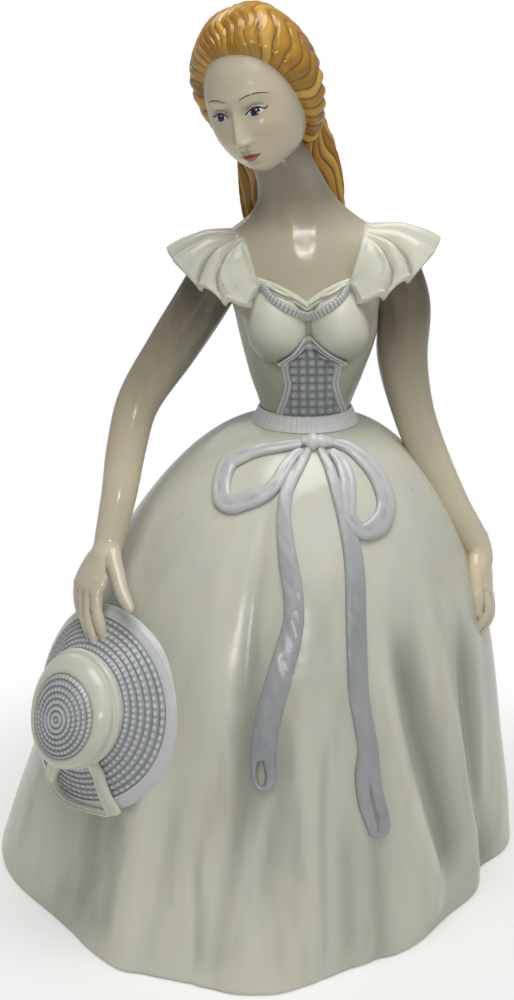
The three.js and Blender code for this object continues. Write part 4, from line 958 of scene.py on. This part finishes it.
# The shoulder ruffles: a frill in lobes from front to back, flaring from the strap to its edge
ruffleForm = {
    "dips": [0, 0.08, 0.2, 0.42, 0.58, 0.8, 0.92, 1],
    "tilt": 0.037, "reach": 41, "strap": 16.4, "rise": 3.0, "draw": 2.0, "lean": 0.62,
}


# A closed smooth curve through control points, each an array over the stations
def closedThrough(controls, count):
    controls = np.stack(controls)
    place = np.linspace(0, len(controls), count, endpoint=False)
    i = place.astype(int)
    w = (place - i)[:, None, None]
    a, b, c, d = (controls[(i + k - 1) % len(controls)] for k in range(4))
    return b + 0.5 * w * (c - a + w * (2 * a - 5 * b + 4 * c - d + w * (3 * (b - c) + d - a)))


def makeRuffle(hand, side):
    form = ruffleForm
    dips = len(form["dips"])
    phase = np.linspace(0, dips - 1, 365)
    share = np.interp(phase, np.arange(dips), form["dips"])
    arch, front = np.sin(pi * share), np.cos(pi * share)
    strapZ = waistZ + bodyForm["shoulderHeight"]

    def at(aside, forward, up):
        x = asideAt(strapZ) + side * aside
        return pointsAt(x, 1.5 - forward * front, strapZ + up + side * aside * form["tilt"])

    reach = form["strap"] + (form["reach"] - form["strap"]) * arch ** 0.8
    reach = reach - form["draw"] * (1 - ridges(phase, 0.7)) * arch
    high = 12.6 * arch ** 1.3
    inner = at(13.4 + 4.6 * arch, 13.4, -9.9 + 15 * arch)
    outer = at(reach, 16.5, -12.9 + high)

    def between(w, lift):
        return inner * (1 - w) + outer * w + (0, 0, lift)

    # the section: over the top, the rolled edge, and back underneath; with each point goes how far
    # out it counts for the pleats, and how much they move it
    section = [
        (inner, 0, 0), (between(0.16, 0.8), 0.16, 0.35), (between(0.5, 1.5), 0.5, 1.25),
        (between(0.82, 0.9), 0.82, 1.25), (outer, 1, 1),
        (at(reach + 0.5, 16.9, -13.9 + high), 1, 1), (at(reach - 0.9, 16.0, -15.4 + high), 1, 0.9),
        (at(0.45 * reach + 0.55 * (16 + 8 * arch), 12.6, -15.6 + 9.6 * arch), 0.6, 0.3),
        (at(16 + 8 * arch, 10, -16.5 + 7 * arch), 0, 0),
        (at(12.6 + 4 * arch, 10.6, -13.5 + 10 * arch), 0, 0),
    ]
    points, outwards, amount = zip(*section)
    rings = closedThrough(points, 120)
    place = np.linspace(0, len(section), 120, endpoint=False)
    outwards, amount = (
        np.interp(place, np.arange(len(section) + 1), [*row, 0])[:, None] for row in (outwards, amount)
    )
    # a pleat's line leans towards the top of the shoulder as it runs in to the strap
    lean = form["lean"] * (1 - outwards)
    origin = clamp((share - 0.5 * lean) / (1 - lean))
    plump = ridges(np.interp(origin, form["dips"], np.arange(dips)), 0.65)
    pleat = form["rise"] * (plump - 0.58) * clamp(np.sin(pi * origin) / 0.25) * amount
    rings[..., 2] += pleat
    # painted shade lies in the valleys of the pleats, and painted light on their ridges
    name, node = f"{hand}_ruffle_form", f"{hand}_shoulder_ruffle"
    pieceFrom(name, node, "cream_glaze", rings.transpose(1, 0, 2), {"fold": 1.2 * pleat.T}, 40)


makeRuffle("right", -1)
makeRuffle("left", 1)
print("ruffles made")

# The hat lies against the skirt. Its own z is the way its crown points, and it is bent round the
# skirt: each point drops by its sideways place squared over twice the bend.
hatForm = {
    "azimuth": -52.5, "drop": 81, "facing": -43.5, "tilt": 20, "lift": 1.5, "bend": 90,
    "radius": 32, "brimThick": 2.2, "brimRise": 9,
    "crownRadius": 16.8, "crownTop": 12.6, "crownHeight": 9.6, "dome": 2.7,
    "crownLean": 2.8, "crownAside": 1.9,
    "coils": 6, "cells": 72, "weave": 0.55, "smoothRim": 3.7, "crownCoil": 1.75, "crownBead": 1.55,
}
hatTurn, hatTilt = math.radians(hatForm["facing"]), math.radians(hatForm["tilt"])
hatFront = np.array([math.sin(hatTurn), -math.cos(hatTurn), 0])
hatOut = hatFront * math.cos(hatTilt) + (0, 0, math.sin(hatTilt))
hatLevel = unit(np.cross([0, 0, 1], hatOut))
hatUp = np.cross(hatOut, hatLevel)
hatPlace = onSkirt(hatForm["azimuth"], waistZ - hatForm["drop"], hatForm["lift"])


def onHat(x, y, z, bent=True):
    form = hatForm
    x, y, z = np.broadcast_arrays(x, y, z)
    lean = (np.maximum(z - form["brimRise"], 0) / form["crownHeight"]) ** 1.5
    z = z - (x * x / (2 * form["bend"]) if bent else 0)
    x, y = x + form["crownAside"] * lean, y - form["crownLean"] * lean
    return hatPlace + x[..., None] * hatLevel + y[..., None] * hatUp + z[..., None] * hatOut


# A lathe turning: an outline of (radius, height) points turned about the hat's axis
def turnedOnHat(outline, turn, push=0):
    radius, height = outline.T[:, :, None]
    return onHat(radius * np.cos(turn), radius * np.sin(turn), height + push)


def makeBrim():
    form = hatForm
    edge, rise, thick = form["radius"] - 1, form["brimRise"], form["brimThick"]
    low, high = form["crownRadius"] + 1.2, form["radius"] - form["smoothRim"]
    out = 1 - np.linspace(1, 0, 150) ** 0.9
    slope = np.stack([low + (edge - low) * out, rise + (thick - rise) * out], -1)
    half = np.linspace(0, pi, 12)[1:-1]
    rim = np.stack([edge + np.sin(half), thick / 2 * (1 + np.cos(half))], -1)
    under = [(edge, 0), (form["radius"] - 6, 0), (15, 0), (0.5, 0)]
    outline = np.vstack([[(0.5, rise), (low - 0.5, rise)], slope, rim, under])
    # coils of straw: a ridge for each, cut into cells that are staggered from coil to coil
    turn, radius = onceRound(450), outline[:, :1]
    coil = (radius - low) / (high - low) * form["coils"]
    cell = ridges(form["cells"] * turn / (2 * pi) + 0.12 * np.floor(coil), 0.8)
    woven = (radius > low) & (radius < high)
    weave = np.where(woven, ridges(coil, 0.9) * (0.45 + 0.55 * cell), 1.0)
    push = form["weave"] * (weave - 0.8) + 0.25 * clamp(radius - high)
    push[:2] = 0
    push[2 + len(slope):] = 0
    rings = turnedOnHat(outline, turn, push)
    pieceFrom("brim_form", "hat_brim", "straw_glaze", rings, {"weave": weave})


# The crown is a dome of coils, cut into beads that fade near its middle
def makeCrown(foot, shoulder):
    form = hatForm
    radius = np.linspace(form["crownTop"], 0.15, 150)
    rise = form["dome"] * halfCircle(radius / form["crownTop"]) * 0.85 + 0.15 * form["dome"]
    base = [(0.3, foot), (form["crownTop"] + 0.9, foot), (form["crownTop"] + 0.6, shoulder)]
    outline = np.vstack([base, np.stack([radius, shoulder + rise], -1)])
    turn, radius = onceRound(450), outline[:, :1]
    coil = radius / form["crownCoil"] + 0.5
    row = np.floor(coil)
    beads = np.maximum(np.round(2 * pi * row * form["crownCoil"] / form["crownBead"]), 3)
    cell = ridges(beads * turn / (2 * pi) + 0.5 * (row % 2), 0.6)
    weave = ridges(coil, 0.7) * (1 - 0.5 * clamp((radius - 4.4) / 1.5) * (1 - cell))
    push = form["weave"] * 1.1 * (weave - 0.8)
    push[:3] = 0
    rings = turnedOnHat(outline, turn, push)
    pieceFrom("crown_form", "hat_crown", "straw_glaze", rings, {"weave": weave})


# The band's section has two tiers
def makeHatBand(foot, shoulder):
    outline = curveThrough([
        (13.2, foot - 0.2), (17.4, foot - 0.2), (18.4, foot + 0.7), (18.2, foot + 2),
        (17.1, foot + 2.75), (17.3, foot + 3.3), (17.2, foot + 4.6), (16, foot + 6.2),
        (14, shoulder + 0.5), (13, shoulder + 0.3), (12.7, shoulder - 0.6), (13, foot + 2),
    ])(np.linspace(0, 1, 90))
    rings = turnedOnHat(outline, onceRound(360))
    pieceFrom("band_form", "hat_band", "cream_glaze", rings, {}, 25, loop=True)


def onBrim(x, y, lift):
    form = hatForm
    inward = (form["radius"] - 1 - np.hypot(x, y)) / (form["radius"] - form["crownRadius"] - 2.4)
    rise = form["brimThick"] + (form["brimRise"] - form["brimThick"]) * np.clip(inward, -0.4, 1)
    return onHat(x, y, rise + lift)


# The ribbon's two ends: place across the hat, up the hat, half width
ribbonForm = {
    "hat_ribbon_front": [
        (12, -13.6, 2.0), (13.2, -16.6, 2.2), (13.9, -19.8, 2.3), (15.2, -23.9, 2.6),
        (16.8, -27.8, 3.3),
    ],
    "hat_ribbon_back": [
        (-2.6, -16.6, 2.6), (-6.2, -22.2, 2.5), (-8.2, -26.6, 2.2), (-5.4, -29.4, 1.8),
        (-0.5, -30.6, 1.3), (5.8, -30.3, 1.1), (12, -29.4, 1.1), (14.6, -29, 1.1),
    ],
}


def makeHatRibbon(node):
    x, y, half = np.array(ribbonForm[node]).T
    thick = [(0, 1.6), (1, 1.2)]
    rings, t, angle = tube(onBrim(x, y, 0.9), 160, 72, evenly(half), thick, hatOut, 0.8)
    groove = bell(np.cos(angle), 0.15, 0.22) * clamp(np.sin(angle))
    push = -0.5 * groove * clamp(t * 3) + 0.12 * np.sin(9 * t + 2 * angle)
    pieceFrom(f"{node}_form", node, "cream_glaze", rings + hatOut * push[..., None], {}, 12)


crownFoot = hatForm["brimRise"] + 0.3
crownShoulder = crownFoot + hatForm["crownHeight"] - hatForm["dome"]
makeBrim()
makeCrown(crownFoot, crownShoulder)
makeHatBand(crownFoot, crownShoulder)
makeHatRibbon("hat_ribbon_front")
makeHatRibbon("hat_ribbon_back")
print("hat made")

# Arms and hands: tubes for the arm, palm, fingers and thumb, fused into one skin
armForm = {
    "shoulder": 8.4, "elbow": 6.5, "wrist": 4.6,
    "palmLength": 15, "palmHalfWidth": 7.2, "finger": 1.85, "fingerLength": 17.5,
    "voxel": 0.42, "smoothing": 9,
    # each finger's place across the palm, its length and thickness as shares, its bend in degrees
    "fingers": [
        (0.73, 0.92, 1.05, 10), (0.25, 1.03, 1.08, 8), (-0.23, 0.97, 1.0, 10), (-0.68, 0.8, 0.92, 14),
    ],
}


def scaled(pairs, size, shrink=1.0):
    return [(place * shrink, value * size) for place, value in pairs]


def handFrame(origin, along, outward, mirror):
    y = unit(np.asarray(along, float))
    z = unit(outward - np.dot(outward, y) * y)
    return np.asarray(origin), np.cross(y, z) * mirror, y, z


# A hand's knuckles may lie aside of the wrist, and its fingers sway back from there
def handTubes(place, curl, knuckles, sway, thumb):
    origin, xAxis, yAxis, zAxis = place

    def bone(points, widths, thicks=None, sides=28):
        x, y, z = np.array(points, float).T[..., None]
        return tube(origin + x * xAxis + y * yAxis + z * zAxis, 40, sides, widths, thicks or widths, zAxis)[0]

    length, half, thick = armForm["palmLength"], armForm["palmHalfWidth"], armForm["finger"]
    palm = [(0, -3, 0), (0, 1.5, 0), (knuckles * 0.35, 6, 0.2), (knuckles, length - 1.5, 0)]
    wrist = armForm["wrist"]
    widths = [(0, wrist), (0.4, wrist * 1.02), (0.66, half * 0.86), (0.9, half), (1, half * 0.98)]
    thicks = [(0, wrist * 0.92), (0.4, wrist * 0.86), (0.7, half * 0.5), (1, half * 0.42)]
    parts = [bone(palm, widths, thicks, 48)]
    for across, longness, size, bend in armForm["fingers"]:
        joint = np.array([knuckles + across * (half - 1), length - 2, 0.4])
        points = [joint - [0, 3, 0.6], joint]
        low, far = math.radians(bend + curl[0]), math.radians(bend * 1.8 + curl[1])
        for turn, reach, swayed in ((low, 0.46, 0.1), (far, 0.3, 0.55), (far + math.radians(8), 0.24, 0.35)):
            reach = reach * longness * armForm["fingerLength"]
            points.append(points[-1] + [sway * swayed, reach * math.cos(turn), -reach * math.sin(turn)])
        widths = [(0, 1.02), (0.18, 0.94), (0.34, 1.03), (0.5, 0.9), (0.67, 0.94), (1, 0.72)]
        parts.append(bone(points, scaled(widths, size * thick)))
        knuckle = joint + [0, -0.4, 0.55]
        points = [knuckle - [0, 1, 0], knuckle, knuckle + [0, 1, 0]]
        parts.append(bone(points, scaled([(0, 0.8), (0.5, 1.05), (1, 0.8)], size * thick)))
    widths = [(0, 1.3), (0.28, 1.4), (0.62, 1.22), (0.8, 1.12), (1, 0.78)]
    return parts + [bone(thumb, scaled(widths, thick))]


# One skin over several tubes: a voxel remesh, smoothed
def fused(name, parts, material):
    verts, faces, start = [], [], 0
    for rings in parts:
        index, quads = gridFaces(*rings.shape[:2])
        faces += (quads + start).tolist() + [(index[0][::-1] + start).tolist(), (index[-1] + start).tolist()]
        verts.append(rings.reshape(-1, 3))
        start += index.size
    mesh = bpy.data.meshes.new(name + "_rough")
    mesh.from_pydata(((np.vstack(verts) - footCentre) / 1000).tolist(), [], faces)
    rough = inScene(name + "_rough", mesh)
    remesh = rough.modifiers.new("skin", "REMESH")
    remesh.mode = "VOXEL"
    remesh.voxel_size = armForm["voxel"] / 1000
    soften = rough.modifiers.new("soften", "SMOOTH")
    soften.factor = 0.5
    soften.iterations = armForm["smoothing"]
    made = bpy.data.meshes.new_from_object(rough.evaluated_get(bpy.context.evaluated_depsgraph_get()))
    bpy.data.objects.remove(rough)
    made.name = name
    made.materials.clear()
    made.materials.append(material)
    made.shade_smooth()
    return inScene(name, made)


# The bow is how far the arm lies off the straight line to its wrist: share, sideways, forwards
def makeArm(hand, shoulder, wrist, place, bow, **handShape):
    shoulder, wrist = np.asarray(shoulder, float), np.asarray(wrist, float)
    bent = [shoulder + (wrist - shoulder) * share + (aside, -forward, 0) for share, aside, forward in bow]
    points = [shoulder, *bent, wrist, wrist + 4 * place[2]]
    form = armForm
    line = [
        (0, form["shoulder"]), (0.3, form["shoulder"] * 0.96), (0.52, form["elbow"] * 1.02),
        (0.7, form["elbow"] * 0.94), (0.88, form["wrist"] * 1.15), (1, form["wrist"]),
    ]
    shrink = (len(points) - 2) / (len(points) - 1)
    arm = tube(points, 170, 64, scaled(line, 1, shrink), scaled(line, 0.94, shrink), (0, 1, 0.2))[0]
    piece = fused(f"{hand}_arm_form", [arm] + handTubes(place, **handShape), glazes["skin_glaze"])
    # painted shadow high on the arm, under its ruffle, growing upwards
    height = readAll(piece.data.vertices, "co", 3)[:, 2] * 1000
    setMark(piece.data, "paintedShadow", np.clip((height - waistZ + 12) / 52, 0, 0.9))
    stands(piece, f"{hand}_arm", 14)


armZ = waistZ + bodyForm["armHeight"]
armX = float(asideAt(armZ))
rightWrist = onHat(-9.7, 49.5, 2.5, bent=False)
makeArm(
    "right", (armX - 23.5, 3, armZ), rightWrist,
    handFrame(rightWrist, -hatUp + 0.26 * hatLevel + 0.3 * hatOut, hatOut, -1),
    bow=[(0.14, -1.6, -2), (0.32, -5, -3.6), (0.52, -8.6, -5), (0.67, -6.6, -3.6), (0.83, -3, -1.2)],
    curl=(2, 3.2), knuckles=-3.6, sway=2.6,
    thumb=[(1.6, -1, -0.3), (3.6, 4.2, -0.2), (7.2, 9.6, -0.3), (11.6, 15.8, -0.6), (15.2, 19.8, -1.4)],
)
leftWrist = onSkirt(86, waistZ * 0.72, 3.4)
leftTips = onSkirt(78, waistZ * 0.555, 2.2)
makeArm(
    "left", (armX + 26, 3, armZ), leftWrist,
    handFrame(leftWrist, leftTips - leftWrist, skirtNormals(82, waistZ * 0.6375), 1),
    bow=[(0.15, 0.4, -0.6), (0.33, -5, -0.8), (0.5, -6.9, -0.6), (0.66, -6.4, -0.2), (0.84, -3.8, 0.3)],
    curl=(-14, 20), knuckles=0, sway=0.4,
    thumb=[(0, 0, 0), (3.4, 4.4, -0.3), (5.9, 9.8, -0.6), (6.9, 15.2, -1), (6.8, 20.5, -1.6)],
)
print("arms made")

trimForm = {
    "piping": {"wide": [(0, 1.05), (1, 1.05)], "thick": [(0, 0.8), (1, 0.8)], "lift": 0.35, "reach": 52},
    "beads": {"wide": [(0, 1.3), (1, 1.3)], "thick": [(0, 0.85), (1, 0.85)], "lift": 0.5, "reach": 50},
    # the trims face away from this place
    "middle": (15.0, 0, 0),
}


# Trims on the bodice: tubes along curves that lie on the cloth
def trimTube(form, heightAt, rows, sides, square):
    angle = np.radians(np.linspace(-form["reach"], form["reach"], 25))
    points = clothPoints(angle, heightAt(angle), form["lift"])

    def facing(middle):
        return unit((middle - np.array(trimForm["middle"])) * (1, 1, 0))

    return tube(points, rows, sides, form["wide"], form["thick"], facing, square)


def makePiping():
    rings, _, angle = trimTube(trimForm["piping"], lambda a: necklineZ(a) - 0.6, 260, 44, 1.0)
    # a groove along its middle leaves two thin ridges
    groove = bell(np.cos(angle), 0, 0.34) * clamp(np.sin(angle))
    pieceFrom("piping_form", "neckline_piping", "cream_glaze", pushedOut(rings, -0.5 * groove), {}, 6)


def makeBeads():
    def drop(angle):
        return necklineZ(0.0) - 4.4 + 10.4 * np.hypot(np.sin(angle) / 0.8, 0.12)

    rings, t, angle = trimTube(trimForm["beads"], drop, 480, 36, 0.8)
    bead = ridges(34 * t, 0.6)
    # painted shade along the trim's edges and between the beads
    edge = clamp(1 - np.sin(angle) / 0.3) * (np.sin(angle) > -0.2)
    marks = {"edge": np.maximum(edge * 0.8, (1 - bead) * 0.9), "bright": 0.5}
    rings = pushedOut(rings, 0.3 * (bead - 0.6))
    pieceFrom("beads_form", "beaded_trim", "sash_glaze", rings, marks, 6)


makePiping()
makeBeads()

panelForm = {
    "foot": 5.2, "top": 31, "column": 2.57, "row": 2.66, "rim": 2.2,
    # height above the waist and half width, then height and how far the middle lies aside
    "width": [(5.2, 10.6), (14.8, 8.1), (22, 8.6), (26.5, 4.2), (31, 0.9)],
    "aside": [(5.2, 1.7), (22, 0.8), (31, -0.4)],
}


# The panel: across and up the bodice's front, with pillows between crossing grooves and a raised rim
def makePanel():
    form = panelForm
    up = np.linspace(form["foot"] - 0.4, form["top"], 200)[:, None]
    share = np.linspace(-1, 1, 130)[None, :]
    z = waistZ + up
    half, aside = lineThrough(form["width"])(up), lineThrough(form["aside"])(up)
    wide, deep = halfWidthAt(z) + bodyForm["cloth"], halfDepthAt(z) + bodyForm["cloth"]

    def across(place, lift):
        turn = np.arcsin((half * place + aside) / wide)
        return clothPoints(np.arctan2(wide * np.sin(turn), deep * np.cos(turn)), z, lift)

    fromEdge = np.minimum((1 - np.abs(share)) * half, (form["top"] - up) * 0.55)
    inside = clamp((fromEdge - form["rim"]) / 0.25)
    pillow = ridges(share * half / form["column"] + 0.5, 0.36)
    pillow = pillow * ridges((up - form["foot"]) / form["row"], 0.36)
    # the rim is two thin ridges with a groove between
    rim = np.maximum(*[halfCircle((fromEdge - form["rim"] * place) / 0.58) for place in (0.26, 0.76)])
    lift = 0.3 + 0.75 * rim * (1 - inside) + inside * 0.9 * pillow
    front = across(share, lift)
    back = across(share[:, ::-1], np.full(lift.shape, -0.6))
    weave = np.where(inside > 0.5, pillow ** 2 * 0.8, 0.5 + 0.4 * rim)
    weave = np.concatenate([weave, np.full(weave.shape, 0.5)], 1)
    rings = np.concatenate([front, back], 1)
    pieceFrom("panel_form", "quilted_panel", "straw_glaze", rings, {"weave": weave})


makePanel()
print("trims made")

# Sash bands: places on the skirt (azimuth, depth below its top, half width)
sashForm = {
    "rise": 1.45, "sink": 0.9,
    "bow_loop_right": [
        (-2, 1.8, 1.5), (-13.5, 2.3, 2.1), (-24, 3, 2.3), (-33.5, 4.2, 2.4), (-40.5, 5.8, 3),
        (-44.5, 7.6, 3.4), (-43.5, 10, 3.2), (-40, 13, 3), (-36, 15.8, 3.1), (-30.5, 16.6, 3.2),
        (-24.5, 15.2, 3), (-19, 13.5, 2.9), (-15, 11.8, 2.4), (-12.5, 9.4, 2.1), (-10.5, 6.9, 2),
        (-7, 4.4, 1.7), (-2, 3.2, 1.4),
    ],
    "bow_loop_left": [
        (18, 1.7, 1.5), (28, 2.5, 2.2), (34, 3.9, 2.8), (38, 6.7, 3.1), (40, 10.1, 3.2),
        (40, 13.2, 3.2), (39, 16.6, 3.2), (36, 19.7, 3.2), (32, 21.9, 3.4), (27.5, 23, 3),
        (23.5, 22.8, 2.6), (21, 21, 2.3), (19.6, 18.6, 2.2), (19.8, 16.2, 2.3), (20.8, 13.6, 2.5),
        (22, 10.8, 2.6), (22.4, 8, 2.4), (21, 5.6, 2), (17.5, 3.4, 1.5),
    ],
    "sash_tail_right": [
        (2.5, 2.8, 1.2), (-3, 6.7, 1.6), (-6, 9.5, 1.9), (-7.6, 12.9, 2), (-7, 18.5, 2.2),
        (-4.6, 25.6, 2.6), (-2.5, 31.8, 2.9), (-0.8, 37.4, 2.9), (0, 43.9, 3), (-0.6, 50, 3.4),
        (-2, 57.3, 3.6), (-3.5, 66, 3.7), (-4.5, 75.3, 3.6), (-4.3, 83, 3.7), (-3.5, 89.5, 3.5),
        (-3.2, 92, 3.2),
    ],
    "sash_tail_left": [
        (10.5, 2.8, 1.3), (14, 7, 1.5), (15.6, 11.4, 1.8), (17, 16.6, 2), (18.2, 21.5, 2.4),
        (19.2, 27, 2.9), (19.2, 35, 3.1), (18.6, 44.9, 3.2), (18.5, 56, 3.2), (18.8, 66, 3.2),
        (20.4, 76, 3.1), (21.6, 83.3, 3.3), (21.8, 91.4, 4.1), (23, 99.5, 4.3), (24.8, 106, 4.1),
        (26.2, 112.5, 3.4),
    ],
    # the knot's places: azimuth, depth below the top, lift
    "knot": {
        "places": [(0, 1.6, 1.2), (8.5, 1.9, 1.6), (17, 1.9, 1.2)],
        "wide": [(0, 1.6), (0.25, 2.2), (0.5, 2.35), (0.75, 2.2), (1, 1.6)],
        "thick": [(0, 1.5), (0.5, 2.3), (1, 1.5)],
    },
}


# A band that hugs the skirt: points across a smooth route are put back on the skirt's surface and
# lifted by a rounded section, which sinks below the surface underneath
def sashBand(node, lift, dent, bright):
    azimuth, depth, width = np.array(sashForm[node]).T
    t = np.linspace(0, 1, 340)
    centre = curveThrough(onSkirt(azimuth, waistZ - depth, 0.0))(t)
    side = unit(np.cross(unit(np.gradient(centre, axis=0)), skirtNormals(*skirtPlace(centre))))
    half = lineThrough(evenly(width))(t)
    along = np.r_[0, np.cumsum(np.linalg.norm(np.diff(centre, axis=0), axis=1))]
    fromEnd = np.minimum(along, along[-1] - along) / (half * 0.8) + 0.02
    half = half * np.sqrt(1 - clamp(1 - fromEnd) ** 2.4)
    angle, along = onceRound(64), along[:, None]
    across, sin = signedPower(np.cos(angle), 0.62), np.sin(angle)
    above, below = (sashForm["rise"] + lift) * np.abs(sin) ** 0.5, -sashForm["sink"] * np.abs(sin) ** 0.6
    points = centre[:, None] + side[:, None] * (across * half[:, None])[..., None]
    azimuth, height = skirtPlace(points)
    dip = dent(t[:, None], across) * (sin > 0.15)
    wander = 0.08 * np.sin(along / 2.7 + 2 * across) + 0.05 * np.sin(along / 1.1 + 5 * across)
    rise = np.where(sin > 0, above, below) * (1 - dip) + wander * (sin > 0.3)
    rings = onSkirt(azimuth, height, rise, True)
    # painted shade along the band's edges, where it meets the skirt, and in its deepest dips
    foot = clamp(1 - np.abs(rise) / 0.42)
    # it is paler higher up, palest at the knot
    pale = bright * np.clip(1.15 - (waistZ - height) / 42, 0.1, 1)
    marks = {"edge": np.maximum(foot, 0.4 * clamp(dip - 0.45)), "bright": pale}
    pieceFrom(f"{node}_form", node, "sash_glaze", rings, marks, 6)


# The right tail ends in a curl: a pointed slot open to the skirt inside it
def curledEnd(t, across):
    middle = 0.12 + 0.1 * np.sin(14 * (t - 0.85))
    wide = 0.42 * halfCircle((t - 0.925) / 0.055) + 1e-4
    slot = clamp(1.25 - np.abs(across - middle) / wide) ** 0.6
    return 1.4 * slot * (np.abs(t - 0.925) < 0.055)


def foldedEnd(t, across):
    ends = clamp((t - 0.8) / 0.04) * clamp((0.985 - t) / 0.02)
    middle = 0.05 + 1.3 * (t - 0.9)
    return (0.42 * bell(across, middle, 0.13) - 0.12 * bell(across, middle + 0.33, 0.12)) * ends


def loopGroove(t, across):
    return 0.16 * bell(across, 0.1, 0.3)


def makeKnot():
    form = sashForm["knot"]
    azimuth, depth, lift = np.array(form["places"]).T
    facing = skirtNormals(azimuth[1], waistZ - 1.8)
    points = onSkirt(azimuth, waistZ - depth, lift)
    rings, t, angle = tube(points, 90, 72, form["wide"], form["thick"], facing)
    # two plump folds with a shallow pleat between
    push = 0.12 * np.cos(2 * pi * (t - 0.25)) + 0.32 * (bell(t, 0.28, 0.16) + bell(t, 0.76, 0.14))
    push = push - 0.3 * bell(t, 0.53, 0.07) + 0.1 * np.sin(3 * angle + 8 * t)
    pieceFrom("knot_form", "bow_knot", "sash_glaze", pushedOut(rings, push), {"bright": 0.8}, 10)


sashBand("sash_tail_right", 0.0, curledEnd, 0.45)
sashBand("sash_tail_left", 0.0, foldedEnd, 0.45)
sashBand("bow_loop_right", 0.3, loopGroove, 0.55)
sashBand("bow_loop_left", 0.3, loopGroove, 0.55)
makeKnot()
print("sash made")

cameraForm = {"place": (0, -448, 299.6), "tilt": 69, "lens": 53.46, "sensor": 36}
lampForm = {
    # place, size, watts, colour
    "ceiling": ((0.06, -0.16, 1.2), (1.0, 0.7), 9.4, (1, 0.99, 0.965)),
    "front": ((0.2, -0.72, 0.86), (0.6, 0.45), 0.95, (1, 0.99, 0.97)),
    "window": ((0.06, -0.86, 0.42), (0.26, 0.05), 0.7, (1, 1, 1)),
    "side": ((0.85, -0.35, 0.5), (0.8, 0.8), 0.45, (0.97, 0.98, 1)),
    "behind": ((-0.35, 0.95, 0.7), (0.7, 0.6), 0.9, (1, 1, 1)),
}
# the share of the floor near the foot that is plain white, and how far out the shadow reaches
studioForm = {
    "floor": tint(246, 246, 245), "world": 0.11, "mirrored": 0.36,
    "nearWhite": 0.4, "shadowReach": (0.09, 0.17),
}


def makeCamera():
    camera = inScene("camera", bpy.data.cameras.new("camera"))
    camera.location = ((np.array(cameraForm["place"]) - footCentre) / 1000).tolist()
    camera.rotation_euler = (math.radians(cameraForm["tilt"]), 0, 0)
    camera.data.lens = cameraForm["lens"]
    camera.data.sensor_width = cameraForm["sensor"]
    bpy.context.scene.camera = camera


def makeLamps():
    for name, (place, size, watts, colour) in lampForm.items():
        light = bpy.data.lights.new(name, "AREA")
        light.shape = "ELLIPSE"
        light.size, light.size_y = size
        light.energy = watts
        light.color = colour
        lamp = inScene(name, light)
        lamp.location = place
        aim = Vector((0, 0, 0.16)) - lamp.location
        lamp.rotation_euler = aim.to_track_quat("-Z", "Y").to_euler()


# How much of the white a ray sees: all of it from the camera or through glass, part by reflection
def seenBy(glaze):
    kinds = ("Is Camera Ray", "Is Transmission Ray", "Is Glossy Ray")
    direct, through, glossy = (glaze.node("ShaderNodeLightPath", out=kind) for kind in kinds)
    return glaze.math("MAXIMUM", glaze.math("MAXIMUM", direct, through), glossy * studioForm["mirrored"])


# The floor keeps the figure's shadow close by, and is plain white further out
def makeStudio():
    form = studioForm
    floor = bpy.data.meshes.new("floor")
    floor.from_pydata([(-8, -3, 0), (8, -3, 0), (8, 12, 0), (-8, 12, 0)], [], [(0, 1, 2, 3)])
    stand = inScene("floor", floor)
    glaze = Glaze("floor_look")
    surface = {"Base Color": form["floor"], "Roughness": 0.9, "Specular IOR Level": 0.1}
    near = glaze.node("ShaderNodeBsdfPrincipled", surface)
    white = glaze.node("ShaderNodeEmission", {"Color": (1, 1, 1, 1), "Strength": 1.0})
    away = glaze.node("ShaderNodeVectorMath", {0: glaze.place()}, "Value", operation="LENGTH")
    far = glaze.step(away, *form["shadowReach"])
    share = (far * (1 - form["nearWhite"]) + form["nearWhite"]) * seenBy(glaze)
    glaze.shown(glaze.node("ShaderNodeMixShader", {0: share, 1: near, 2: white}))
    floor.materials.append(glaze.material)
    world = bpy.data.worlds.new("studio")
    bpy.context.scene.world = world
    sky = Glaze("sky", material=world)
    strength = sky.math("MAXIMUM", seenBy(sky), form["world"])
    light = sky.node("ShaderNodeBackground", {"Color": (1, 1, 1, 1), "Strength": strength})
    sky.shown(light, "World")


makeCamera()
makeLamps()
makeStudio()
bpy.context.scene.view_settings.view_transform = "Standard"
